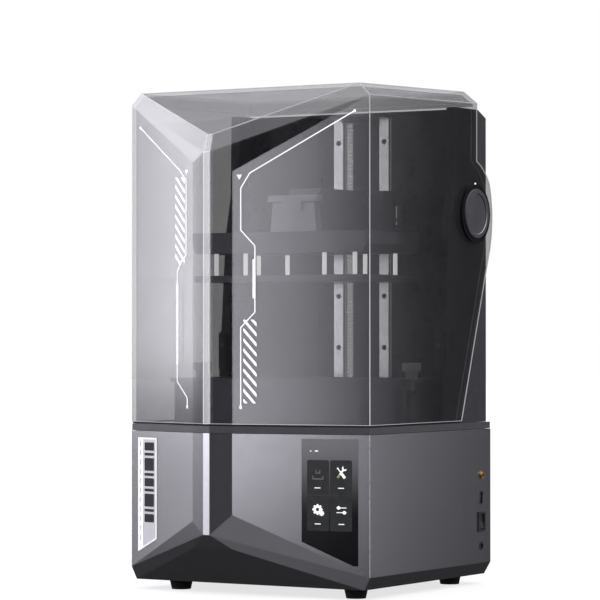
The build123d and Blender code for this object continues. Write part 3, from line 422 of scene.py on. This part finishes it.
def disc(x, y, radius, count=24):
    """Outline of a disc."""
    return [(x + radius * math.cos(a), y + radius * math.sin(a))
            for a in (math.tau * i / count for i in range(count))]


def rectangle(x0, x1, y0, y1):
    """Outline of a rectangle."""
    return [(x0, y0), (x1, y0), (x1, y1), (x0, y1)]


def rounded_rectangle(x0, x1, y0, y1, radius, steps=5):
    """Outline of a rectangle with round corners."""
    outline = []
    corners = ((x1 - radius, y1 - radius, 0), (x0 + radius, y1 - radius, 90),
               (x0 + radius, y0 + radius, 180), (x1 - radius, y0 + radius, 270))
    for cx, cy, start in corners:
        for i in range(steps + 1):
            a = math.radians(start + 90 * i / steps)
            outline.append((cx + radius * math.cos(a), cy + radius * math.sin(a)))
    return outline


MITRE_LIMIT = 0.4           # smallest cosine of half a corner's turn, so that sharp mitres stay short


def ribbon(points, width):
    """Outline of a line of constant width with mitred corners."""
    line = [Vector(p) for p in points]
    sides = ([], [])
    for i, point in enumerate(line):
        before = (point - line[i - 1]).normalized() if i else None
        after = (line[i + 1] - point).normalized() if i < len(line) - 1 else None
        before = before or after
        after = after or before
        across = Vector((-(before + after).y, (before + after).x)).normalized()
        reach = width / 2 / max(MITRE_LIMIT, across.dot(Vector((-after.y, after.x))))
        sides[0].append(tuple(point + across * reach))
        sides[1].append(tuple(point - across * reach))
    return sides[0] + sides[1][::-1]


def upright_plane(start, end):
    """Local frame of an upright panel: x from start to end, y up, z outwards.

    The start and the end are points of the plan, in millimetres.
    """
    along = Vector((end[0] - start[0], end[1] - start[1], 0)).normalized()
    out = Vector((along.y, -along.x, 0))
    up = Vector((0, 0, 1))
    matrix = Matrix((along, up, out)).transposed().to_4x4()
    matrix.translation = Vector((start[0], start[1], 0)) * MM
    return matrix


RIGHT_START, RIGHT_END = (1.0, -152.1), (153.0, -119.0)      # the front panels in plan, millimetres
LEFT_START, LEFT_END = (-153.0, -119.0), (-50.0, -151.8)
RIGHT_PANEL = upright_plane(RIGHT_START, RIGHT_END)
LEFT_PANEL = upright_plane(LEFT_START, LEFT_END)


def tube(bm, path, radius, sides=8, closed=False):
    """A round tube through points in the shared frame, in metres, with steady cross sections."""
    rings = []
    normal = None
    count = len(path)
    for i, point in enumerate(path):
        ahead = path[(i + 1) % count] if closed or i < count - 1 else point
        behind = path[i - 1] if closed or i else point
        direction = (ahead - behind).normalized()
        if normal is None:
            normal = direction.orthogonal().normalized()
        normal = (normal - direction * normal.dot(direction)).normalized()
        across = direction.cross(normal)
        ring = []
        for k in range(sides):
            a = math.tau * k / sides
            ring.append(bm.verts.new(point + (normal * math.cos(a) + across * math.sin(a)) * radius))
        rings.append(ring)
    pairs = list(zip(rings[:-1], rings[1:]))
    if closed:
        pairs.append((rings[-1], rings[0]))
    for a, b in pairs:
        for k in range(sides):
            m = (k + 1) % sides
            bm.faces.new((a[k], a[m], b[m], b[k]))
    if not closed:
        bm.faces.new(rings[0][::-1])
        bm.faces.new(rings[-1])


# ---------------------------------------------------------------- painted edge highlights
EDGE_RADIUS = 0.55 * MM
RIM_RADIUS = 0.35 * MM      # of the bright line along the lid's lower rim
EDGE_INSET = 0.75 * MM      # how far a bright line's ends lie below the surface
LID_FOOT = 0.19             # edges below this height are the lid's lower rim
LID_REAR = 0.080            # rear of here the lid is open between its side walls
ROOF_LINE = 0.53            # the roof's own edges lie above this height
FOLD_ANGLE = 7.0            # degrees: sharper folds than this get a painted highlight line
FLAT_ANGLE = 1.0            # degrees: hull faces that meet below this angle are one facet
WELD = 0.05 * MM
HULL_WELD = 0.2 * MM
CORNER_RADIUS = 0.5 * MM    # of the painted highlight line down each front corner of the base
CORNER_INSET = (0.9, 0.4)   # of that line from the side and the front, in its radii
BEVEL_RISE = 13.6 * MM      # height of the base's bottom bevel


def fold_lines(solid, keep):
    """End points of a mesh's sharp edges that a test keeps."""
    lines = []
    for edge in solid.edges:
        if len(edge.link_faces) == 2 and edge.calc_face_angle(0.0) > math.radians(FOLD_ANGLE):
            if keep(*[v.co for v in edge.verts]):
                lines.append([v.co - v.normal * EDGE_INSET for v in edge.verts])
    return lines


def hull_of(shell):
    """Convex hull of a mesh, with its flat facets joined."""
    hull = bmesh.new()
    for vertex in shell.verts:
        hull.verts.new(vertex.co)
    bmesh.ops.remove_doubles(hull, verts=hull.verts, dist=HULL_WELD)
    bmesh.ops.convex_hull(hull, input=hull.verts)
    bmesh.ops.delete(hull, geom=[v for v in hull.verts if not v.link_faces], context="VERTS")
    bmesh.ops.dissolve_limit(hull, angle_limit=math.radians(FLAT_ANGLE), verts=hull.verts,
                             edges=hull.edges)
    hull.normal_update()
    return hull


def lid_edges():
    """Painted highlights: bright tubes along the folds and rims of the transparent lid, in place of the
    glints on its edges.
    """
    shell = bmesh.new()
    shell.from_mesh(nodes["lid_shell"].data)
    bmesh.ops.remove_doubles(shell, verts=shell.verts, dist=WELD)
    shell.normal_update()
    hull = hull_of(shell)
    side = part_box("lid_shell")[1].x - WELD
    hub_low, hub_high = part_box("hub_rings")

    def on_side(a, b):
        return min(abs(a.x), abs(b.x)) > side and a.x * b.x > 0

    def over_hub(point):
        return hub_low.y < point.y < hub_high.y and hub_low.z < point.z < hub_high.z

    def front_fold(a, b):
        return not on_side(a, b) and min(a.y, b.y) < LID_REAR

    def roof_rear(a, b):
        return not on_side(a, b) and min(a.y, b.y) > LID_REAR and min(a.z, b.z) > ROOF_LINE

    def side_rim(a, b):
        return on_side(a, b) and not (over_hub(a) and over_hub(b))

    bm = bmesh.new()
    for a, b in fold_lines(hull, front_fold) + fold_lines(hull, roof_rear) + fold_lines(shell, side_rim):
        tube(bm, [a, b], RIM_RADIUS if max(a.z, b.z) < LID_FOOT else EDGE_RADIUS, sides=6)
    hull.free()
    shell.free()
    piece_from(bm, "lid_edge_highlights", "lid", "painted_edge_highlight")


def base_corner_highlights():
    """Painted highlight: a crisp bright line down each of the base's two front corners."""
    low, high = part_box("base_shell")
    inset_x, inset_y = CORNER_INSET
    y = RIGHT_END[1] * MM + CORNER_RADIUS * inset_y
    bm = bmesh.new()
    for side in (-1, 1):
        x = side * (high.x - CORNER_RADIUS * inset_x)
        tube(bm, [Vector((x, y, low.z + BEVEL_RISE)), Vector((x, y, high.z))], CORNER_RADIUS)
    piece_from(bm, "base_corner_highlights", "base", "painted_corner_highlight")


# ---------------------------------------------------------------- lid: printed lines
INK = (0.02, 0.12)          # the ink's lower and upper face above the panel, in millimetres
LINE = 1.1                  # width of a thin printed line
THICK_LINE = 3.2
HATCH_LINE = 2.6
HATCH_PITCH = 10.8
HATCH_SLOPE = 1.1
# The print of each panel, in millimetres along the panel and up. The hatch is a tall field of
# stripes: left, right, top, bottom.
RIGHT_PRINT = {
    "lines": ([(138.5, 518.0), (20.0, 454.0), (9.8, 438.0), (9.8, 393.0), (26.0, 376.0), (26.0, 361.0)],
              [(26.0, 320.5), (26.0, 305.0), (9.8, 288.5), (9.8, 204.5)]),
    "bar": [(25.0, 361.5), (25.0, 320.0)], "bar_width": THICK_LINE,
    "dot": (138.5, 518.0, 1.5),
    "foot": (8.5, 11.1, 201.5, 204.8),
    "arrow": [(5.4, 452.4), (8.2, 447.2), (11.0, 452.4)],
    "hatch": (13.0, 27.8, 297.0, 207.5),
}
LEFT_PRINT = {
    "lines": ([(15.5, 509.5), (85.0, 460.0), (96.5, 448.5), (96.5, 367.5), (88.5, 360.5),
               (81.2, 350.5), (81.2, 336.0)],
              [(81.2, 249.0), (81.2, 230.0), (98.6, 212.5), (98.6, 204.0)]),
    "bar": [(81.4, 336.5), (81.4, 248.5)], "bar_width": THICK_LINE * 0.8,
    "dot": (15.5, 509.5, 1.6),
    "foot": (97.3, 99.9, 201.0, 204.3),
    "arrow": [(94.8, 459.6), (97.4, 454.6), (99.6, 459.6)],
    "hatch": (78.0, 94.0, 452.0, 357.5),
}


def clip_band(outline, level, side):
    """Keep the part of an outline above (side 1) or below (side -1) a level."""
    kept = []
    for (ax, ay), (bx, by) in zip(outline, outline[1:] + outline[:1]):
        a_in, b_in = (ay - level) * side > 0, (by - level) * side > 0
        if a_in:
            kept.append((ax, ay))
        if a_in != b_in:
            share = (level - ay) / (by - ay)
            kept.append((ax + (bx - ax) * share, level))
    return kept


def add_hatch(bm, panel, x0, x1, top, bottom):
    """Slanted stripes in a tall field, cut off at its top and bottom."""
    rise = (x1 - x0) * HATCH_SLOPE
    half = HATCH_LINE / 2 * math.hypot(1, HATCH_SLOPE)
    count = int((top - bottom + rise) / HATCH_PITCH) + 1
    for i in range(count):
        z = top + rise - HATCH_PITCH * (i + 0.5)
        corners = [(x0, z + half), (x0, z - half), (x1, z - half - rise), (x1, z + half - rise)]
        kept = clip_band(clip_band(corners, top, -1), bottom, 1)
        if len(kept) > 2:
            add_prism(bm, kept, panel, *INK)


def lid_print(name, panel, marks):
    """White screen print on one front panel of the lid."""
    bm = bmesh.new()
    for line in marks["lines"]:
        add_prism(bm, ribbon(line, LINE), panel, *INK)
    add_prism(bm, ribbon(marks["bar"], marks["bar_width"]), panel, *INK)
    add_prism(bm, disc(*marks["dot"]), panel, *INK)
    add_prism(bm, rectangle(*marks["foot"]), panel, *INK)
    add_prism(bm, marks["arrow"], panel, *INK)
    add_hatch(bm, panel, *marks["hatch"])
    piece_from(bm, name, "lid", "white_ink")


# ---------------------------------------------------------------- touch screen
# Distances are millimetres; across the screen they are measured in the front view.
GLASS_FACE = -0.1           # front of the glass below the panel
UI = (GLASS_FACE + 0.005, GLASS_FACE + 0.045)
UI_TOP = (GLASS_FACE + 0.045, GLASS_FACE + 0.08)
UI_MARK = (UI_TOP[1], UI_TOP[1] + 0.02)
PANEL_SLANT = math.cos(math.radians(12.29))     # of the right panel, seen from the front
TILE_X = (84.1, 108.9, 133.4)
TILE_Z = (72.7, 110.5, 148.0)
TILE_GAP, TILE_CORNER = 1.0, 2.0
GEAR_AT = (95.6, 95.5)
GEAR_RADII = (5.8, 3.0, 1.9)                    # large wheel, small wheel, eye
SMALL_GEAR_FROM_LARGE = (4.6, -4.0)
SLIDERS_X = 121.8
SLIDERS = ((97.6, -3.2), (92.6, 3.2))           # height of each slider, and where its button stands
SLIDER_HALF, SLIDER_LINE, BUTTON_RADIUS = 5.6, 0.9, 1.9
TOOLS_AT = (121.4, 134.6)
SPANNER_TURN, DRIVER_TURN = 52, 128             # degrees
SPANNER = [(-6.4, -1.0), (3.6, -1.0), (4.6, -2.6), (7.4, -2.6), (5.4, -0.9), (5.4, 0.9),
           (7.4, 2.6), (4.6, 2.6), (3.6, 1.0), (-6.4, 1.0)]
DRIVER = [(-7.0, -1.5), (-1.5, -1.5), (-0.8, -0.6), (5.0, -0.6), (6.8, -1.1), (6.8, 1.1),
          (5.0, 0.6), (-0.8, 0.6), (-1.5, 1.5), (-7.0, 1.5)]
GRIP = (-6.6, -2.0, -1.1, 1.1)                  # coloured grip on the spanner
PRINT_ICON_X = 96.0
PRINT_ICON = ((-6.2, 6.2, 127.2, 128.6), (-6.2, -5.0, 128.6, 131.2), (5.0, 6.2, 128.6, 131.2),
              (-2.6, 2.6, 133.4, 134.6), (-2.6, -1.6, 134.6, 137.4), (1.6, 2.6, 134.6, 137.4))
CAPTIONS = ((95.6, 118.4), (121.4, 118.4), (95.8, 80.2), (121.8, 80.2))
CAPTION_HALF, CAPTION_CORNER = (3.4, 0.5), 0.4
STATUS_BARS = ((88.1, 0.7), (94.4, 1.8))        # place and half length
STATUS_BAR_Z = (156.8, 158.2)
STATUS_DOTS, STATUS_DOT_Z, STATUS_DOT_RADIUS = (125.0, 128.6), 157.6, 1.1


def gear_outline(cx, cy, radius, teeth=8):
    """Outline of a gear wheel."""
    outline = []
    for i in range(teeth):
        for share, reach in ((-0.32, 0.80), (-0.20, 1.0), (0.20, 1.0), (0.32, 0.80)):
            a = math.tau * (i + share) / teeth
            outline.append((cx + radius * reach * math.cos(a), cy + radius * reach * math.sin(a)))
    return outline


def turned(outline, cx, cy, degrees):
    """An outline turned about the origin and moved to a point."""
    a = math.radians(degrees)
    return [(cx + x * math.cos(a) - y * math.sin(a), cy + x * math.sin(a) + y * math.cos(a))
            for x, y in outline]


def along_screen(x):
    """Distance along the right panel of a place given in the front view."""
    return (x - RIGHT_START[0]) / PANEL_SLANT


def screen_tiles():
    """The four tiles of the menu."""
    bm = bmesh.new()
    columns = [along_screen(x) for x in TILE_X]
    half = TILE_GAP / 2
    for x0, x1 in ((columns[0], columns[1] - half), (columns[1] + half, columns[2])):
        for z0, z1 in ((TILE_Z[0], TILE_Z[1] - half), (TILE_Z[1] + half, TILE_Z[2])):
            add_prism(bm, rounded_rectangle(x0, x1, z0, z1, TILE_CORNER), RIGHT_PANEL, *UI)
    piece_from(bm, "screen_tiles", "base", "screen_tile")


def screen_icons():
    """Bright and dim icons, caption bars and status marks."""
    bright = bmesh.new()
    dim = bmesh.new()
    gear_x, gear_z = along_screen(GEAR_AT[0]), GEAR_AT[1]
    large, small, _ = GEAR_RADII
    add_prism(bright, gear_outline(gear_x, gear_z, large), RIGHT_PANEL, *UI_TOP)
    step_x, step_z = SMALL_GEAR_FROM_LARGE
    add_prism(bright, gear_outline(gear_x + step_x, gear_z + step_z, small), RIGHT_PANEL, *UI_TOP)
    middle = along_screen(SLIDERS_X)
    for z, x in SLIDERS:
        line = [(middle - SLIDER_HALF, z), (middle + SLIDER_HALF, z)]
        add_prism(bright, ribbon(line, SLIDER_LINE), RIGHT_PANEL, *UI_TOP)
        add_prism(bright, disc(middle + x, z, BUTTON_RADIUS), RIGHT_PANEL, *UI_TOP)
    tool_x, tool_z = along_screen(TOOLS_AT[0]), TOOLS_AT[1]
    for outline, turn in ((SPANNER, SPANNER_TURN), (DRIVER, DRIVER_TURN)):
        add_prism(bright, turned(outline, tool_x, tool_z, turn), RIGHT_PANEL, *UI_TOP)
    middle = along_screen(PRINT_ICON_X)
    for x0, x1, z0, z1 in PRINT_ICON:
        add_prism(dim, rectangle(middle + x0, middle + x1, z0, z1), RIGHT_PANEL, *UI_TOP)
    long, high = CAPTION_HALF
    for x, z in CAPTIONS:
        x = along_screen(x)
        add_prism(bright, rounded_rectangle(x - long, x + long, z - high, z + high, CAPTION_CORNER),
                  RIGHT_PANEL, *UI_TOP)
    for x, half in STATUS_BARS:
        x = along_screen(x)
        add_prism(bright, rectangle(x - half, x + half, *STATUS_BAR_Z), RIGHT_PANEL, *UI)
    for x in STATUS_DOTS:
        add_prism(dim, disc(along_screen(x), STATUS_DOT_Z, STATUS_DOT_RADIUS), RIGHT_PANEL, *UI)
    piece_from(bright, "screen_icons", "base", "screen_light")
    piece_from(dim, "screen_dim_marks", "base", "screen_dim")


def screen_marks():
    """The gear's dark eye and the spanner's coloured grip, on top of their icons."""
    eye = bmesh.new()
    add_prism(eye, disc(along_screen(GEAR_AT[0]), GEAR_AT[1], GEAR_RADII[2]), RIGHT_PANEL, *UI_MARK)
    piece_from(eye, "screen_gear_eye", "base", "screen_tile")
    grip = bmesh.new()
    outline = turned(rectangle(*GRIP), along_screen(TOOLS_AT[0]), TOOLS_AT[1], SPANNER_TURN)
    add_prism(grip, outline, RIGHT_PANEL, *UI_MARK)
    piece_from(grip, "screen_tool_grip", "base", "screen_green")


# ---------------------------------------------------------------- badge
BADGE_FACE = 0.6            # front of the badge plate above the panel, in millimetres
BADGE_INK = (BADGE_FACE, BADGE_FACE + 0.06)
BADGE_TOP_INK = (BADGE_FACE + 0.03, BADGE_FACE + 0.1)
BADGE_OUT = (12.6, 45.4, 167.4, 41.9, 56.9)     # left, right, top, bottom left, bottom right
BADGE_BAND, BADGE_RIM = 8.2, 1.5                # width of the left band and of the other sides
BAR_MARGIN = (3.2, 3.0, 5.0)                    # of the bars: left, right, top
BAR_HEIGHTS = (9.0, 3.0, 14.0, 3.0, 9.0, 3.0, 14.0, 3.0, 9.0)
BAR_GAP, BAR_CORNER = 2.6, 1.2
DASH_LEFT, DASH_WIDTH, DASH_LENGTH = 2.9, 1.2, 6.6
DASH_FOOT, DASH_PITCH, DASH_COUNT = 12.0, 10.4, 11


def badge():
    """White outline with a wider left band, and plain dark bars in place of any lettering."""
    x0, x1, top, low_left, low_right = BADGE_OUT
    slope = (low_right - low_left) / (x1 - x0)
    inner, edge = x0 + BADGE_BAND, x1 - BADGE_RIM

    def foot(x):
        return low_left + slope * (x - x0)

    white = bmesh.new()
    strips = ([(x0, foot(x0)), (inner, foot(inner)), (inner, top), (x0, top)],
              [(edge, foot(edge)), (x1, foot(x1)), (x1, top), (edge, top)],
              [(inner, top - BADGE_RIM), (edge, top - BADGE_RIM), (edge, top), (inner, top)],
              [(inner, foot(inner)), (edge, foot(edge)), (edge, foot(edge) + BADGE_RIM),
               (inner, foot(inner) + BADGE_RIM)])
    for strip in strips:
        add_prism(white, strip, LEFT_PANEL, *BADGE_INK)
    piece_from(white, "badge_outline", "base", "badge_white")

    ink = bmesh.new()
    margin_left, margin_right, margin_top = BAR_MARGIN
    left, right = inner + margin_left, edge - margin_right
    z = top - margin_top
    for height in BAR_HEIGHTS:
        add_prism(ink, rounded_rectangle(left, right, z - height, z, BAR_CORNER), LEFT_PANEL,
                  *BADGE_TOP_INK)
        z -= height + BAR_GAP
    dash = x0 + DASH_LEFT
    for i in range(DASH_COUNT):
        z = foot(x0) + DASH_FOOT + DASH_PITCH * i
        add_prism(ink, rectangle(dash, dash + DASH_WIDTH, z, z + DASH_LENGTH), LEFT_PANEL,
                  *BADGE_TOP_INK)
    piece_from(ink, "badge_bars", "base", "badge_ink")


# ---------------------------------------------------------------- lead screw, rails and springs
THREAD_LEAD = 8.0 * MM
THREAD_STARTS = 2
THREAD_DEPTH = 1.2 * MM
THREAD_CREST, THREAD_FLANK = 0.3, 0.4           # shares of half a pitch
PLAIN_END = 4 * MM
SCREW_SIDES = 24
RINGS_PER_PITCH = 6
RAIL_WIDTH = 12 * MM
# The skin of painted shade over a rail's flank, in millimetres outwards from the flank and back from the
# front face.
FLANK_SKIN, FLANK_CORE = 0.06, -1.0
FLANK_FRONT, FLANK_REAR = 0.3, 7.9
FLANK_END_GAP = 0.1
GROOVE_AT, GROOVE_RADIUS = (1.2, 3.2), 1.94
SPRING_WIRE = 0.35 * MM
SPRING_TURNS = 6
SPRING_RADIUS = 4.0 * MM
SPRING_X, SPRING_Y = (51.2 * MM, 90.0 * MM), 44.0 * MM
STEPS_PER_TURN = 16


def lead_screw():
    """Spindle with a two-start trapezoidal thread between two plain ends."""
    low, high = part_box("lead_screw")
    cx, cy = (low.x + high.x) / 2, (low.y + high.y) / 2
    radius = (high.x - low.x) / 2
    pitch = THREAD_LEAD / THREAD_STARTS
    count = int((high.z - low.z) / pitch * RINGS_PER_PITCH)
    bm = bmesh.new()
    rings = []
    for i in range(count + 1):
        z = low.z + (high.z - low.z) * i / count
        fade = min(1.0, max(0.0, min(z - low.z, high.z - z) - PLAIN_END) / pitch)
        ring = []
        for k in range(SCREW_SIDES):
            a = math.tau * k / SCREW_SIDES
            phase = (z / THREAD_LEAD - k / SCREW_SIDES) * THREAD_STARTS
            wave = abs((phase % 1.0) * 2 - 1)
            groove = min(1.0, max(0.0, (wave - THREAD_CREST) / THREAD_FLANK))
            r = radius - THREAD_DEPTH * groove * fade
            ring.append(bm.verts.new((cx + r * math.cos(a), cy + r * math.sin(a), z)))
        rings.append(ring)
    for lower, upper in zip(rings[:-1], rings[1:]):
        for k in range(SCREW_SIDES):
            m = (k + 1) % SCREW_SIDES
            bm.faces.new((lower[k], lower[m], upper[m], upper[k]))
    bm.faces.new(rings[0][::-1])
    bm.faces.new(rings[-1])
    screw = piece_from(bm, "threaded_spindle", "z_screw", "screw_steel", smooth=True)
    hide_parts("lead_screw")


def rail_flanks():
    """Painted shade: a dark skin over the rails' flanks, following their ball grooves."""
    low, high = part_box("z_rails")
    out, back = GROOVE_AT
    groove = [(out - GROOVE_RADIUS * math.cos(a), back + GROOVE_RADIUS * math.sin(a))
              for a in (math.radians(degrees) for degrees in range(-50, 51, 10))]
    profile = [(FLANK_SKIN, FLANK_FRONT)] + groove + [(FLANK_SKIN, FLANK_REAR),
                                                      (FLANK_CORE, FLANK_REAR), (FLANK_CORE, FLANK_FRONT)]
    top = (high.z - low.z) / MM - FLANK_END_GAP
    bm = bmesh.new()
    for x, outwards in ((low.x, -1), (low.x + RAIL_WIDTH, 1), (high.x - RAIL_WIDTH, -1), (high.x, 1)):
        outline = [(outwards * a, b) for a, b in profile][::outwards]
        add_prism(bm, outline, Matrix.Translation((x, low.y, low.z)), FLANK_END_GAP, top)
    piece_from(bm, "rail_flanks", "base", "rail_flank_shade")


def plate_springs():
    """Coil springs over the heads of the eight guide pins."""
    low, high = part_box("plate_springs")
    radius = SPRING_RADIUS - SPRING_WIRE
    places = [(sx * x, sy * SPRING_Y) for sy in (-1, 1) for x in SPRING_X for sx in (-1, 1)]
    bm = bmesh.new()
    steps = SPRING_TURNS * STEPS_PER_TURN
    for cx, cy in places:
        path = []
        for i in range(steps + 1):
            a = math.tau * SPRING_TURNS * i / steps
            z = low.z + SPRING_WIRE + (high.z - low.z - 2 * SPRING_WIRE) * i / steps
            path.append(Vector((cx + radius * math.cos(a), cy + radius * math.sin(a), z)))
        tube(bm, path, SPRING_WIRE, sides=6)
    springs = piece_from(bm, "coil_springs", "carriage", "spring_steel", smooth=True)
    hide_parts("plate_springs")
    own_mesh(springs)


# ---------------------------------------------------------------- small fittings
RING_THICK = 1.4 * MM       # of the dark ring around a hinge cap
HUB_DOT_GAP = 0.4 * MM        # between that ring and the middle of its bright dot
HUB_DOT_RADIUS, HUB_DOT_THICK = 1.6, 0.3            # millimetres
DISH_MARGIN = 5 * MM        # from a cap's outer edge to its dish
DISH_LINE, DISH_LINE_DEPTH = 0.45 * MM, 0.6 * MM
DISH_LINE_STEPS = 48
BUMPER_X, BUMPER_Z = 142.6 * MM, 262 * MM
BUMPER_BACK = 4.2 * MM      # from the wing's front end
BUMPER_HALF = (4.6, 22.0)   # millimetres, like the sizes below
BUMPER_CORNER, BUMPER_THICK = 3.0, 3.0
BUMPER_SCREW = (0, 7.0, 2.4)                    # across, up, radius
BUMPER_SCREW_HEAD = 0.5


def hub_bright_dots():
    """Small bright dot above each hinge hub."""
    low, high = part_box("hub_rings")
    wall = (high.x - low.x) / 2 - RING_THICK
    y, z = (low.y + high.y) / 2, high.z + HUB_DOT_GAP
    bm = bmesh.new()
    for side in (-1, 1):
        place = Matrix.Translation((side * wall, y, z)) @ Matrix.Rotation(side * math.pi / 2, 4, "Y")
        add_prism(bm, disc(0, 0, HUB_DOT_RADIUS), place, 0.0, HUB_DOT_THICK)
    piece_from(bm, "hub_bright_dots", "lid", "white_ink")


def hub_rim_highlights():
    """Painted highlight: a bright ring around the dish of each hinge cap."""
    low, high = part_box("hub_caps")
    y, z = (low.y + high.y) / 2, (low.z + high.z) / 2
    radius = (high.z - low.z) / 2 - DISH_MARGIN
    bm = bmesh.new()
    for side in (-1, 1):
        x = side * (high.x - DISH_LINE_DEPTH)
        path = [Vector((x, y + radius * math.cos(a), z + radius * math.sin(a)))
                for a in (math.tau * i / DISH_LINE_STEPS for i in range(DISH_LINE_STEPS))]
        tube(bm, path, DISH_LINE, sides=6, closed=True)
    # painted highlight, in the light metal finish of the neck
    piece_from(bm, "hub_rim_highlights", "lid", "neck_alu")


def wing_bumpers():
    """Small dark bumper with a screw on the front edge of each tower wing."""
    bumper = bmesh.new()
    screws = bmesh.new()
    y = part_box("tower_housing")[0].y + BUMPER_BACK
    half_x, half_z = BUMPER_HALF
    for side in (-1, 1):
        place = Matrix.Translation((side * BUMPER_X, y, BUMPER_Z)) @ Matrix.Rotation(math.pi / 2, 4, "X")
        add_prism(bumper, rounded_rectangle(-half_x, half_x, -half_z, half_z, BUMPER_CORNER), place,
                  0.0, BUMPER_THICK)
        add_prism(screws, disc(*BUMPER_SCREW), place, BUMPER_THICK, BUMPER_THICK + BUMPER_SCREW_HEAD)
    piece_from(bumper, "wing_bumpers", "base", "trim_black")
    piece_from(screws, "wing_bumper_screws", "base", "steel_dark")


make_camera()
make_studio()
dress_cad_nodes()
lid_edges()
base_corner_highlights()
lid_print("lid_print_right", RIGHT_PANEL, RIGHT_PRINT)
lid_print("lid_print_left", LEFT_PANEL, LEFT_PRINT)
screen_tiles()
screen_icons()
screen_marks()
badge()
lead_screw()
plate_springs()
hub_bright_dots()
hub_rim_highlights()
rail_flanks()
wing_bumpers()
